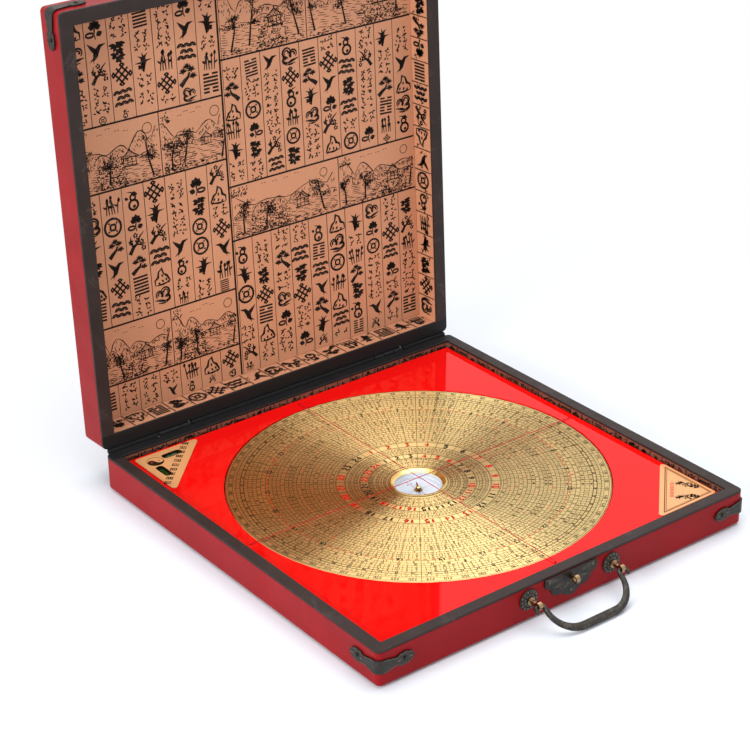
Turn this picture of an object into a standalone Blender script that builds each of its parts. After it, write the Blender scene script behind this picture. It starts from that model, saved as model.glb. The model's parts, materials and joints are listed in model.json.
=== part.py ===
"""Feng shui compass in its hinged case, with the lid open.

Metres, +Z up. The origin is at the centre of the case's underside, +X is to the right seen from the
handle, and the handle is at -Y. The lid's pieces are laid out as if the case were shut, round the hinge
axis, and their empty turns them open.
"""
import math

import bmesh
import bpy
from mathutils import Matrix, Vector

# Case
case_width = 0.305
case_depth = 0.308
base_height = 0.0264
lid_height = 0.0255
base_rim_width = 0.0084
lid_rim_width = 0.0098
corner_radius = 0.0035
edge_radius = 0.0022
lid_open_angle = math.radians(92.1)
seam_gap = 0.0004

# Sheet thicknesses and fits
fit_gap = 0.0003
running_gap = 0.0004
leather = 0.0007
banding = 0.0014
banding_ease = 0.0003
paper = 0.0004
panel = 0.003
underside_sheet = 0.0005
underside_margin = 0.004
turn_in = 0.010
least_radius = 0.0003

# Hinges
hinge_offset = 0.002
hinge_side_inset = 0.0575
hinge_width = 0.026
hinge_reach = 0.0145
hinge_leaf = 0.001
hinge_leaf_corner = 0.003
knuckle_radius = 0.0016
knuckle_width = 0.0088
knuckle_ease = 0.0002
hinge_pin_radius = 0.0006
hinge_pin_head = 0.0011
hinge_pin_head_length = 0.0007
hinge_pin_head_share = 0.5
tape_thickness = 0.0006
tape_foot = 0.0205
tape_end_inset = 0.0035

# Corner guards
guard_leg = 0.0264
guard_half_height = 0.0045
guard_thickness = 0.0009
guard_height_share = 0.55
left_guard_rise = 0.0009
guard_nail_distance = 0.0195
# shares of the leg's length and of the half height, from the case's edge to the leaf's tip
guard_outline_shares = (
    (0.0, 1.05), (0.20, 1.0), (0.36, 0.80), (0.48, 0.66), (0.54, 0.70), (0.60, 0.98), (0.67, 0.92),
    (0.74, 1.04), (0.82, 0.94), (0.87, 0.84), (0.94, 0.62), (1.0, 0.14),
)

# Nails
nail_head_radius = 0.0014
nail_head_height = 0.0009
nail_shank_radius = 0.0006
nail_length = 0.0055
nail_point_share = 0.5
nail_dome_steps = 4

# Latch and handle sit this far along X from the middle of the front
hardware_x = -0.0015

# Latch
plate_thickness = 0.001
latch_half_width = 0.0217
latch_foot_height = 0.0068
latch_top_drop = 0.0016
# shares of the half width and of the height, where two lobes of the lower edge meet
latch_cusp_shares = ((1.0, 0.0), (0.77, 0.47), (0.38, 0.77), (-0.38, 0.77), (-0.77, 0.47), (-1.0, 0.0))
lobe_bulge_share = 0.24
lobe_steps = 7
staple_drop = 0.0061
staple_reach = 0.0056
hasp_plate_height = 0.0135
hasp_axis_rise = 0.0024
hasp_axis_reach = 0.0022
hasp_knuckle_radius = 0.0012
hasp_pin_radius = 0.0005
hasp_pin_ease = 0.0002
hasp_width = 0.016
hasp_middle_knuckle = 0.0074
tongue_thickness = 0.0012
tongue_half_width = 0.0068
tongue_neck_share = 0.8
tongue_tip = 0.0045
tongue_lip = 0.0015
tongue_steps = 12

# Handle
post_spacing = 0.0692
post_rise = 0.0033
post_reach = 0.010
post_stem_radius = 0.0016
post_shank_radius = 0.0011
post_shank_length = 0.0058
post_collar_radius = 0.0028
post_collar_height = 0.0009
post_point_share = 0.5
eye_radius = 0.0027
eye_half_width = 0.0015
eye_hole_radius = 0.0016
rosette_radius = 0.0072
rosette_height = 0.0022
# shares of the radius and of the height
rosette_shares = ((1.0, 0.0), (1.0, 0.25), (0.94, 0.42), (0.82, 0.50), (0.74, 0.36), (0.66, 0.52),
                  (0.50, 0.78), (0.34, 0.94))
bail_pin_radius = 0.00125
bail_side_gap = 0.00035
bail_bend_radius = 0.0016
bail_reach = 0.0254
bail_grip_width = 0.0056
bail_grip_thickness = 0.0026
bail_grip_straight = 0.0125
bail_arm_straight = 0.0046
bail_arm_width = 0.0036
bail_tail_length = 0.0052
bail_tail_width = 0.0030
# shares of the tail's length, width and thickness
bail_tail_shares = ((0.5, 1.0, 0.8), (0.8, 0.8, 0.7), (1.0, 0.5, 0.5))
bail_grip_steps = 3
bail_bow_steps = 9
bail_bend_steps = 4
bail_sides = 10
table_clearance = 0.0004
bail_edge_share = 0.72

# Compass board
board_drop = 0.005
board_side_gap = 0.0007
board_corner = 0.0012
board_ease = 0.0005
recess_depth = 0.0065
dial_side_margin = 0.0127
dial_side_gap = 0.0006
bush_wall = 0.0015
bore_floor_depth = 0.0113

# Dial
dial_rim_drop = 0.0003
dial_dish = 0.0028
face_thickness = 0.0008
dial_ease = 0.0004
dish_rings = 4

# Capsule
bezel_overhang = 0.00185
bezel_height = 0.0005
bezel_top_width = 0.0015
bezel_throat_inset = 0.0017
bezel_lip = 0.0004
bezel_ease = 0.0003
cup_radius = 0.018
cup_wall = 0.0022
cup_floor = 0.0012
glass_seat_width = 0.0011
glass_thickness = 0.0012
glass_drop = 0.0027
card_thickness = 0.0004

# Needle
needle_length = 0.0172
needle_half_width = 0.0009
needle_thickness = 0.0003
needle_heading = math.radians(-28.7)
needle_hub_radius = 0.0018
needle_hole_radius = 0.0012
cap_radius = 0.0017
cap_neck_radius = 0.0009
cap_dome = 0.0007
cap_cavity_radius = 0.0007
cap_cavity_top_radius = 0.0002
cap_dome_steps = 4
cap_drop = 0.0009
pivot_base_radius = 0.0028
pivot_base_height = 0.0006
pivot_radius = 0.0005
pivot_tip_radius = 0.0001
needle_clearance = 0.0014

# Threads
thread_radius = 0.00025
thread_hole_radius = 0.0007
thread_hole_inset = 0.0062
thread_depth = 0.006
thread_bend = 0.0008

# Labels and vials
label_leg = 0.0531
label_corner = 0.0022
label_thickness = 0.0003
back_label_inset_x = 0.0061
back_label_inset_y = 0.003
front_label_inset_x = 0.0016
front_label_inset_y = 0.0047
vial_length = 0.0136
vial_radius = 0.002
vial_proud = 0.0006
# shares of the vial's radius and of its end's length
vial_end_shares = ((1.0, 0.0), (0.81, 0.59), (0.31, 0.95))
vial_end = 0.001
vial_slot_gap = 0.0004
# distances of the vials' middles from the label's square corner, along the side they follow and from it
vial_along = 0.0253
vial_across = 0.0083

# Fineness
corner_steps = 4
round_sides = 16
rosette_sides = 24
small_sides = 12
capsule_sides = 40
dial_sides = 72
guard_steps = 17
tape_steps = 18
cut_overrun = 0.001

# Levels that follow from the sizes above
pivot_y = case_depth / 2 + hinge_offset
pivot_z = base_height + seam_gap / 2
hinge_spacing = case_width - 2 * hinge_side_inset
front_y = -case_depth / 2
lid_front_y = -hinge_offset - case_depth
latch_height = base_height - latch_top_drop - latch_foot_height
staple_height = base_height - staple_drop
post_height = base_height / 2 + post_rise
base_stack = underside_sheet + fit_gap + leather + fit_gap
lid_stack = leather + fit_gap
frame_top = banding + fit_gap
board_half_x = case_width / 2 - base_rim_width - board_side_gap
board_half_y = case_depth / 2 - base_rim_width - board_side_gap
dial_radius = min(board_half_x, board_half_y) - dial_side_margin
board_top = base_height - board_drop
board_bottom = base_stack + panel + fit_gap + paper + fit_gap
recess_floor = board_top - recess_depth
recess_radius = dial_radius + dial_side_gap
bore_floor = board_top - bore_floor_depth
rim_top = board_top - dial_rim_drop
face_centre = rim_top - dial_dish
dial_bottom = recess_floor + fit_gap
bezel_radius = cup_radius + bezel_overhang
bezel_throat_radius = cup_radius - bezel_throat_inset
bezel_bottom = face_centre + dial_dish * (bezel_radius / dial_radius) ** 2 + fit_gap
bezel_top = bezel_bottom + bezel_height
glass_top = bezel_top - glass_drop
bezel_foot = glass_top + fit_gap
cup_top = bezel_foot - fit_gap
cup_bottom = bore_floor + fit_gap
glass_bottom = glass_top - glass_thickness
ledge = glass_bottom - fit_gap
glass_radius = cup_radius - glass_seat_width - fit_gap
cup_inner = cup_radius - cup_wall
card_bottom = cup_bottom + cup_floor + fit_gap
card_top = card_bottom + card_thickness
needle_bottom = glass_bottom - needle_clearance
bush_inner = cup_radius + fit_gap
bush_outer = bush_inner + bush_wall


def clear_scene():
    for thing in list(bpy.data.objects):
        bpy.data.objects.remove(thing, do_unlink=True)


def material(name, colour, roughness, metallic=0.0):
    made = bpy.data.materials.new(name)
    made.use_nodes = True
    shader = made.node_tree.nodes["Principled BSDF"]
    shader.inputs["Base Color"].default_value = (*colour, 1.0)
    shader.inputs["Roughness"].default_value = roughness
    shader.inputs["Metallic"].default_value = metallic
    made.diffuse_color = (*colour, 1.0)
    return made


def add(name, shape, finish, parent=None, location=(0, 0, 0), rotation=(0, 0, 0)):
    """An object from a bmesh, its faces turned outward and its round parts shaded smooth."""
    bmesh.ops.recalc_face_normals(shape, faces=shape.faces)
    mesh = bpy.data.meshes.new(name)
    shape.to_mesh(mesh)
    shape.free()
    mesh.materials.append(finish)
    mesh.shade_smooth()
    mesh.set_sharp_from_angle(angle=math.radians(35))
    made = bpy.data.objects.new(name, mesh)
    bpy.context.collection.objects.link(made)
    made.parent = parent
    made.location = location
    made.rotation_euler = rotation
    return made


def empty(name, location, rotation=(0, 0, 0), parent=None):
    made = bpy.data.objects.new(name, None)
    bpy.context.collection.objects.link(made)
    made.parent = parent
    made.location = location
    made.rotation_euler = rotation
    return made


def skin(loops, ring=False):
    """A closed solid through loops of equally many points: capped at both ends, or joined in a ring."""
    shape = bmesh.new()
    rows = [[shape.verts.new(point) for point in loop] for loop in loops]
    pairs = list(zip(rows, rows[1:]))
    if ring:
        pairs.append((rows[-1], rows[0]))
    for low, high in pairs:
        for k in range(len(low)):
            shape.faces.new((low[k - 1], low[k], high[k], high[k - 1]))
    if not ring:
        shape.faces.new(rows[0])
        shape.faces.new(rows[-1])
    return shape


def circle(radius, height, sides):
    turns = [2 * math.pi * k / sides for k in range(sides)]
    return [(radius * math.cos(a), radius * math.sin(a), height) for a in turns]


def turned(profile, sides, ring=False):
    """A solid turned round Z from (radius, height) points."""
    return skin([circle(radius, height, sides) for radius, height in profile], ring)


def rounded_loop(inset, height, centre_y=0.0, radius=corner_radius):
    """The case's outline moved inward, at a height, as a rounded rectangle."""
    r = max(radius - inset, least_radius)
    half_x = case_width / 2 - inset - r
    half_y = case_depth / 2 - inset - r
    points = []
    for corner, (sx, sy) in enumerate(((1, 1), (-1, 1), (-1, -1), (1, -1))):
        for step in range(corner_steps + 1):
            a = math.pi / 2 * (corner + step / corner_steps)
            x = sx * half_x + r * math.cos(a)
            y = centre_y + sy * half_y + r * math.sin(a)
            points.append((x, y, height))
    return points


def plate(outline, thickness, matrix=None):
    """A flat plate: an outline in X and Y, raised by its thickness along Z."""
    low = [Vector((x, y, 0)) for x, y in outline]
    high = [Vector((x, y, thickness)) for x, y in outline]
    shape = skin([low, high])
    if matrix:
        bmesh.ops.transform(shape, matrix=matrix, verts=shape.verts)
    return shape


def block(low, high):
    """A box between its lowest and highest corners."""
    shape = bmesh.new()
    size = [b - a for a, b in zip(low, high)]
    centre = [(a + b) / 2 for a, b in zip(low, high)]
    fit = Matrix.Translation(centre) @ Matrix.Diagonal((*size, 1.0))
    bmesh.ops.create_cube(shape, size=1.0, matrix=fit)
    return shape


def rod_along_x(x0, x1, y, z, radius, sides=round_sides):
    """A round rod along X."""
    ends = []
    for x in (x0, x1):
        ends.append([(x, y + py, z + pz) for py, pz, _ in circle(radius, 0, sides)])
    return skin(ends)


def carve(target, shape, operation="DIFFERENCE"):
    """Cuts a shape from an object that stands unparented at the origin, or joins it on."""
    tool = add("tool", shape, target.data.materials[0])
    step = target.modifiers.new("carve", "BOOLEAN")
    step.operation = operation
    step.object = tool
    bpy.context.view_layer.update()
    solid = target.evaluated_get(bpy.context.evaluated_depsgraph_get())
    carved = bpy.data.meshes.new_from_object(solid)
    target.modifiers.clear()
    old = target.data
    target.data = carved
    bpy.data.meshes.remove(old)
    tool_mesh = tool.data
    bpy.data.objects.remove(tool, do_unlink=True)
    bpy.data.meshes.remove(tool_mesh)
    carved.shade_smooth()
    carved.set_sharp_from_angle(angle=math.radians(35))


def facing(point, direction):
    """The frame at a point whose Z axis looks along a direction."""
    return Matrix.Translation(point) @ Vector(direction).to_track_quat("Z", "Y").to_matrix().to_4x4()


def drill(targets, point, direction, radius, depth, overrun):
    """A round hole into each target, against the direction, from beyond the surface to the depth."""
    for target in targets:
        hole = turned([(radius, -depth), (radius, overrun)], small_sides)
        bmesh.ops.transform(hole, matrix=facing(point, direction), verts=hole.verts)
        carve(target, hole)


def edge_arc(radius, steps=4):
    """A quarter round as (inset, drop) from a sharp edge, from the side face to the end face."""
    turns = [math.pi / 2 * k / steps for k in range(steps + 1)]
    return [(radius * (1 - math.cos(a)), radius * (1 - math.sin(a))) for a in turns]


class Half:
    """One half of the case: its rim plane, the way its depth runs, its sizes and its centre."""

    def __init__(self, name, rim_z, way, height, rim_width, stack, centre_y, left_guard_rise):
        self.name = name
        self.rim_z = rim_z
        self.way = way
        self.height = height
        self.rim_width = rim_width
        self.stack = stack
        self.centre_y = centre_y
        self.front_y = centre_y - case_depth / 2
        self.left_guard_rise = left_guard_rise

    def loop(self, inset, depth):
        return rounded_loop(inset, self.rim_z + self.way * depth, self.centre_y)

    def frame(self, finish):
        outer = leather + fit_gap
        inner = self.rim_width - paper - fit_gap
        bottom = self.height - self.stack
        ease = edge_radius - outer
        return add(self.name + "_frame", skin([
            self.loop(outer, frame_top), self.loop(outer, bottom - ease),
            self.loop(outer + ease, bottom), self.loop(inner, bottom), self.loop(inner, frame_top)],
            ring=True), finish)

    def panel(self, name, finish):
        inset = self.rim_width - paper
        bottom = self.height - self.stack
        return add(name, skin([self.loop(inset, bottom), self.loop(inset, bottom - panel)]), finish)

    def rim_band(self, finish):
        width = self.rim_width
        ease = banding_ease
        return add(self.name + "_rim_band", skin([
            self.loop(ease, 0), self.loop(0, ease), self.loop(0, banding), self.loop(width, banding),
            self.loop(width, ease), self.loop(width - ease, 0)], ring=True), finish)

    def wall_lining(self, finish):
        width = self.rim_width
        foot = self.height - self.stack - panel - fit_gap
        return add(self.name + "_wall_lining", skin([
            self.loop(width - paper, frame_top), self.loop(width - paper, foot),
            self.loop(width, foot), self.loop(width, frame_top)], ring=True), finish)

    def floor_lining(self, finish):
        inset = self.rim_width + fit_gap
        foot = self.height - self.stack - panel - fit_gap
        return add(self.name + "_floor_lining", skin([
            self.loop(inset, foot), self.loop(inset, foot - paper)]), finish)


def base_wrap(half, finish):
    """Leather round the base's sides, turned in under its edge."""
    bottom = half.height - underside_sheet - fit_gap
    outside = [(inset, bottom - drop) for inset, drop in edge_arc(edge_radius)]
    inner_radius = edge_radius - leather
    inside = [(leather + inset, bottom - leather - drop) for inset, drop in edge_arc(inner_radius)]
    profile = [(0, frame_top), *outside, (turn_in, bottom), (turn_in, bottom - leather), *inside[::-1],
               (leather, frame_top)]
    return add("base_side_wrap", skin([half.loop(*point) for point in profile], ring=True), finish)


def lid_wrap(half, finish):
    """Leather over the lid's top and sides, in one piece."""
    bottom = half.height
    outside = [(inset, bottom - drop) for inset, drop in edge_arc(edge_radius)]
    inner_radius = edge_radius - leather
    inside = [(leather + inset, bottom - leather - drop) for inset, drop in edge_arc(inner_radius)]
    profile = [*inside[::-1], (leather, frame_top), (0, frame_top), *outside]
    return add("lid_wrap", skin([half.loop(*point) for point in profile]), finish)


def guard_section(along):
    """The strip's place seen from above, as (x, y) from the corner, and the way that it faces."""
    radius = corner_radius + fit_gap
    arc = radius * math.pi / 2
    if along < -arc / 2:
        return (-corner_radius + along + arc / 2, -fit_gap), (0, -1)
    if along > arc / 2:
        return (fit_gap, corner_radius + along - arc / 2), (1, 0)
    a = -math.pi / 4 + along / radius
    out = (math.cos(a), math.sin(a))
    return (-corner_radius + radius * out[0], corner_radius + radius * out[1]), out


def guard_half_height_at(share):
    """The outline between its named shares, as smooth steps."""
    for (s0, h0), (s1, h1) in zip(guard_outline_shares, guard_outline_shares[1:]):
        if share <= s1:
            t = (share - s0) / (s1 - s0)
            blend = (1 - math.cos(math.pi * t)) / 2
            return guard_half_height * (h0 + (h1 - h0) * blend)
    return guard_half_height * guard_outline_shares[-1][1]


def guard_stations():
    """Distances along the strip, from one leaf's tip round the corner to the other's."""
    radius = corner_radius + fit_gap
    half_arc = radius * math.pi / 4
    leg = guard_leg - corner_radius
    right = [half_arc + leg * k / guard_steps for k in range(guard_steps + 1)]
    corner = [half_arc * k / 3 for k in range(-2, 3)]
    return [-s for s in right[::-1]] + corner + right


def corner_guard(name, side, at_y, at_z, finish):
    """A bent strip with leaf-shaped ends on one of the case's front corners."""
    radius = corner_radius + fit_gap
    half_arc = radius * math.pi / 4
    loops = []
    for along in guard_stations():
        (x, y), (nx, ny) = guard_section(along)
        past = max(abs(along) - half_arc, 0) + corner_radius * min(abs(along) / half_arc, 1)
        half = guard_half_height_at(past / guard_leg)
        section = []
        for out, rise in ((0, -half), (guard_thickness, -half), (guard_thickness, half), (0, half)):
            section.append((side * (case_width / 2 + x + nx * out), at_y + y + ny * out, at_z + rise))
        loops.append(section)
    return add(name, skin(loops), finish)


def nail_seats(side, at_y, at_z):
    """Where a corner guard's two nails go in, and the way that they face."""
    lift = fit_gap + guard_thickness
    front = ((side * (case_width / 2 - guard_nail_distance), at_y - lift, at_z), (0, -1, 0))
    flank = ((side * (case_width / 2 + lift), at_y + guard_nail_distance, at_z), (side, 0, 0))
    return {"front": front, "side": flank}


def nail(name, seat, finish):
    """A domed nail with its shank, standing off its seat by the fit."""
    point, direction = seat
    profile = [(nail_shank_radius * nail_point_share, -nail_length),
               (nail_shank_radius, -nail_length + nail_shank_radius),
               (nail_shank_radius, 0), (nail_head_radius, 0)]
    for k in range(1, nail_dome_steps + 1):
        a = math.pi / 2 * k / (nail_dome_steps + 1)
        profile.append((nail_head_radius * math.cos(a), nail_head_height * math.sin(a)))
    shape = turned(profile, small_sides)
    lifted = facing(point, direction) @ Matrix.Translation((0, 0, fit_gap))
    bmesh.ops.transform(shape, matrix=lifted, verts=shape.verts)
    return add(name, shape, finish)


def guards(half, walls, bronze, parent):
    """Both front corner guards of one half of the case, their nails, and the holes for them."""
    for word, side, rise in (("left", -1, half.left_guard_rise), ("right", 1, 0)):
        at_z = half.rim_z + half.way * half.height * (1 - guard_height_share) + rise
        name = half.name + "_guard_" + word
        guard = corner_guard(name, side, half.front_y, at_z, bronze)
        for which, seat in nail_seats(side, half.front_y, at_z).items():
            hole = nail_shank_radius + fit_gap
            drill([guard, *walls], *seat, hole, nail_length + fit_gap, cut_overrun)
            nail(name + "_nail_" + which, seat, bronze).parent = parent
        guard.parent = parent


def lobed_outline(half_width, height, way):
    """A cloud outline: a straight edge along X, and an edge of round lobes that reaches the height."""
    cusps = [Vector((x * half_width, way * y * height)) for x, y in latch_cusp_shares]
    points = [tuple(cusps[0])]
    for start, end in zip(cusps, cusps[1:]):
        chord = end - start
        out = Vector((way * chord.y, -way * chord.x)) * lobe_bulge_share
        for k in range(1, lobe_steps + 1):
            t = k / lobe_steps
            point = start + chord * t + out * math.sin(math.pi * t)
            points.append(tuple(point))
    return points


def upright(at_x, at_y, at_z):
    """Turns a plate drawn in X and Y to stand in X and Z, its thickness toward -Y."""
    return Matrix.Translation((at_x, at_y, at_z)) @ Matrix.Rotation(math.pi / 2, 4, "X")


def latch_plate(finish):
    top = base_height - latch_top_drop
    outline = lobed_outline(latch_half_width, latch_height, -1)
    shape = plate(outline, plate_thickness, upright(hardware_x, front_y - fit_gap, top))
    return add("latch_plate", shape, finish)


def eye_post(name, at, reach, finish, seat_height, collar):
    """A split post with an eye across it, its shank in the wall. Its origin is the eye's centre."""
    seat = -reach + seat_height
    profile = [(post_shank_radius * post_point_share, -reach - post_shank_length),
               (post_shank_radius, -reach - post_shank_length * post_point_share),
               (post_shank_radius, seat)]
    if collar:
        profile += [(post_collar_radius, seat),
                    (post_collar_radius, seat + post_collar_height * post_point_share),
                    (post_stem_radius, seat + post_collar_height)]
    else:
        profile += [(post_stem_radius, seat)]
    profile += [(post_stem_radius, 0)]
    shape = turned(profile, round_sides)
    bmesh.ops.transform(shape, matrix=facing((0, 0, 0), (0, -1, 0)), verts=shape.verts)
    post = add(name, shape, finish)
    carve(post, rod_along_x(-eye_half_width, eye_half_width, 0, 0, eye_radius), "UNION")
    through = eye_half_width + cut_overrun
    carve(post, rod_along_x(-through, through, 0, 0, eye_hole_radius))
    post.location = at
    return post


def rosette(name, x, finish):
    """An embossed round plate under an eye post."""
    hole = post_shank_radius + fit_gap
    profile = [(hole, 0)]
    profile += [(rosette_radius * r, rosette_height * h) for r, h in rosette_shares]
    profile += [(hole, rosette_height)]
    shape = turned(profile, rosette_sides, ring=True)
    seat = facing((x, front_y - fit_gap, post_height), (0, -1, 0))
    bmesh.ops.transform(shape, matrix=seat, verts=shape.verts)
    return add(name, shape, finish)


def bail_half():
    """The bail's centreline from the grip's middle to one tail, as (x, reach, width, thickness)."""
    offset = eye_half_width + bail_side_gap + bail_pin_radius
    arm_x = post_spacing / 2 - offset
    tail_x = post_spacing / 2 + offset
    reach = bail_reach - bail_grip_width / 2
    bend = bail_bend_radius
    pin = 2 * bail_pin_radius
    points = [(bail_grip_straight * k / bail_grip_steps, reach, bail_grip_width, bail_grip_thickness)
              for k in range(bail_grip_steps)]
    steps = bail_bow_steps
    for k in range(steps + 1):
        a = math.pi / 2 * k / steps
        x = bail_grip_straight + (arm_x - bail_grip_straight) * math.sin(a)
        s = bail_arm_straight + (reach - bail_arm_straight) * math.cos(a)
        width = bail_grip_width + (bail_arm_width - bail_grip_width) * k / steps
        points.append((x, s, width, bail_grip_thickness))
    middle = (bail_arm_straight + bend) / 2
    points.append((arm_x, middle, (bail_arm_width + pin) / 2, bail_grip_thickness))
    bends = bail_bend_steps
    for k in range(bends + 1):
        a = math.pi / 2 * k / bends
        points.append((arm_x + bend * (1 - math.cos(a)), bend * (1 - math.sin(a)), pin, pin))
    for k in range(bends + 1):
        a = math.pi / 2 * k / bends
        points.append((tail_x - bend * (1 - math.sin(a)), bend * (1 - math.cos(a)), pin, pin))
    for along, wide, thick in bail_tail_shares:
        points.append((tail_x, bail_tail_length * along, bail_tail_width * wide, pin * thick))
    return points


def flat_oval(centre, across, normal, width, thickness):
    """A ribbon's section with rounded edges, square to its path."""
    loop = []
    for k in range(bail_sides):
        a = 2 * math.pi * (k + 1 / 2) / bail_sides
        u = math.copysign(abs(math.cos(a)) ** bail_edge_share, math.cos(a))
        v = math.copysign(abs(math.sin(a)) ** bail_edge_share, math.sin(a))
        loop.append(centre + across * (u * width / 2) + normal * (v * thickness / 2))
    return loop


def bail_angle():
    """The slope at which the bail's grip rests on the table, below the horizontal."""
    half = bail_grip_thickness / 2
    span = math.hypot(bail_reach, half)
    return math.asin((post_height - table_clearance) / span) - math.atan2(half, bail_reach)


def bail(finish):
    """The handle: a flat bow whose ends pass through the two eyes and turn down."""
    right = bail_half()
    whole = [(-x, s, w, t) for x, s, w, t in right[:0:-1]] + right
    path = [Vector((x, -s, 0)) for x, s, w, t in whole]
    up = Vector((0, 0, 1))
    loops = []
    for k, (x, s, width, thickness) in enumerate(whole):
        ahead = path[min(k + 1, len(path) - 1)] - path[max(k - 1, 0)]
        across = up.cross(ahead.normalized())
        loops.append(flat_oval(path[k], across, up, width, thickness))
    at = (hardware_x, front_y - post_reach, post_height)
    return add("bail", skin(loops), finish, location=at, rotation=(bail_angle(), 0, 0))


def leaf_outline(way, tabs):
    """A hinge leaf in X and Z: its tabs reach the axis, the rest stays clear of the other knuckles."""
    clear = knuckle_radius + fit_gap
    half = hinge_width / 2
    r = hinge_leaf_corner
    points = []
    for x0, x1 in tabs:
        points += [(x0, way * clear), (x0, 0), (x1, 0), (x1, way * clear)]
    if tabs[0][0] > -half:
        points = [(-half, way * clear), *points, (half, way * clear)]
    else:
        points = points[1:-1]
    for k in range(5):
        a = math.pi / 2 * k / 4
        points.append((half - r + r * math.cos(a), way * (hinge_reach - r + r * math.sin(a))))
    for k in range(5):
        a = math.pi / 2 * k / 4
        points.append((-half + r - r * math.sin(a), way * (hinge_reach - r + r * math.cos(a))))
    return points


def hinge_leaf_piece(name, way, tabs, finish):
    """A leaf on the case's back, laid out round the hinge axis, with its share of the knuckle."""
    face = -hinge_offset + fit_gap
    outline = leaf_outline(way, tabs)
    stand = Matrix.Translation((0, face + hinge_leaf, 0)) @ Matrix.Rotation(math.pi / 2, 4, "X")
    leaf = add(name, plate(outline, hinge_leaf, stand), finish)
    for x0, x1 in tabs:
        carve(leaf, rod_along_x(x0 + knuckle_ease, x1 - knuckle_ease, 0, 0, knuckle_radius), "UNION")
    through = hinge_width / 2 + cut_overrun
    carve(leaf, rod_along_x(-through, through, 0, 0, hinge_pin_radius + fit_gap, small_sides))
    return leaf


def hinge(word, x, brass, lid):
    """One butt hinge: a leaf on each half of the case and the pin that joins them."""
    half = hinge_width / 2
    middle = knuckle_width / 2
    outer_tabs = [(-half, -middle - fit_gap), (middle + fit_gap, half)]
    fixed = hinge_leaf_piece("hinge_" + word + "_base_leaf", -1, outer_tabs, brass)
    fixed.location = (x, pivot_y, pivot_z)
    moving = hinge_leaf_piece("hinge_" + word + "_lid_leaf", 1, [(-middle, middle)], brass)
    moving.location = (x, 0, 0)
    moving.parent = lid
    end = half + fit_gap
    share = hinge_pin_head_share
    head = [(hinge_pin_radius, end), (hinge_pin_head, end),
            (hinge_pin_head, end + hinge_pin_head_length * share),
            (hinge_pin_head * share, end + hinge_pin_head_length)]
    pin = turned([(r, -h) for r, h in head[::-1]] + head, small_sides)
    at = (x, pivot_y, pivot_z)
    add("hinge_" + word + "_pin", pin, brass, location=at, rotation=(0, math.pi / 2, 0))


def hinge_tape(cloth):
    """The cloth along the hinge line: a foot on the base's back and a roll round the axis, cut for the hinges."""
    roll = hinge_offset - fit_gap
    outer = tape_thickness - roll
    sweep = math.pi + math.acos(outer / roll)
    outline = [(outer, -tape_foot), (-roll, -tape_foot)]
    for k in range(tape_steps + 1):
        a = math.pi - sweep * k / tape_steps
        outline.append((roll * math.cos(a), roll * math.sin(a)))
    end = case_width / 2 - tape_end_inset
    tape = add("hinge_tape", skin([[(x, pivot_y + y, pivot_z + z) for y, z in outline] for x in (-end, end)]), cloth)
    reach = hinge_width / 2 + hinge_pin_head_length + 2 * fit_gap
    past = roll + cut_overrun
    for x in (-hinge_spacing / 2, hinge_spacing / 2):
        low = (x - reach, pivot_y - past, pivot_z - hinge_reach - fit_gap)
        carve(tape, block(low, (x + reach, pivot_y + past, pivot_z + past)))


def hasp_axis(half):
    return Vector((hardware_x, half.front_y - hasp_axis_reach, half.rim_z + hasp_axis_rise))


def hasp_plate(half, finish):
    """The lid's share of the latch: a cloud plate with two knuckles at its foot."""
    axis = hasp_axis(half)
    clear = hasp_knuckle_radius + fit_gap
    lobes = lobed_outline(latch_half_width, hasp_plate_height, 1)
    inner = hasp_middle_knuckle / 2 + fit_gap
    outer = hasp_width / 2
    foot = [(-outer, clear), (-outer, 0), (-inner, 0), (-inner, clear),
            (inner, clear), (inner, 0), (outer, 0), (outer, clear)]
    outline = [(x, z + clear) for x, z in lobes] + foot
    stand = upright(axis.x, half.front_y - fit_gap, axis.z)
    made = add("hasp_plate", plate(outline, plate_thickness, stand), finish)
    for x0, x1 in ((-outer, -inner), (inner, outer)):
        ends = axis.x + x0 + knuckle_ease, axis.x + x1 - knuckle_ease
        carve(made, rod_along_x(*ends, axis.y, axis.z, hasp_knuckle_radius), "UNION")
    through = outer + cut_overrun
    ends = axis.x - through, axis.x + through
    carve(made, rod_along_x(*ends, axis.y, axis.z, hasp_pin_radius + fit_gap, small_sides))
    return made


def tongue_slot(half):
    """How far from the hasp's axis the staple's eye begins and ends, as the slot has to span it."""
    axis = hasp_axis(half)
    shut_axis_z = pivot_z + axis.z
    across = staple_reach - hasp_axis_reach
    distance = math.hypot(across, shut_axis_z - staple_height)
    return distance - eye_radius - running_gap, distance + eye_radius + running_gap


def hasp_tongue(half, finish):
    """The hinged tongue, folded back over the lid, with the slot that takes the staple."""
    near, far = tongue_slot(half)
    clear = hasp_knuckle_radius + fit_gap
    middle = hasp_middle_knuckle / 2
    w = tongue_half_width
    neck = w * tongue_neck_share
    outline = [(middle, 0), (middle, clear), (neck, clear), (w, near)]
    for k in range(tongue_steps + 1):
        a = math.pi * k / tongue_steps
        outline.append((w * math.cos(a), far - tongue_lip + tongue_tip * math.sin(a)))
    outline += [(-w, near), (-neck, clear), (-middle, clear), (-middle, 0)]
    stand = upright(0, tongue_thickness / 2, 0)
    tongue = add("hasp_tongue", plate(outline, tongue_thickness, stand), finish)
    ends = -middle + knuckle_ease, middle - knuckle_ease
    carve(tongue, rod_along_x(*ends, 0, 0, hasp_knuckle_radius), "UNION")
    carve(tongue, rod_along_x(-w, w, 0, 0, hasp_pin_radius + fit_gap, small_sides))
    slot = eye_half_width + running_gap
    carve(tongue, block((-slot, -tongue_thickness, near), (slot, tongue_thickness, far)))
    return tongue


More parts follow.
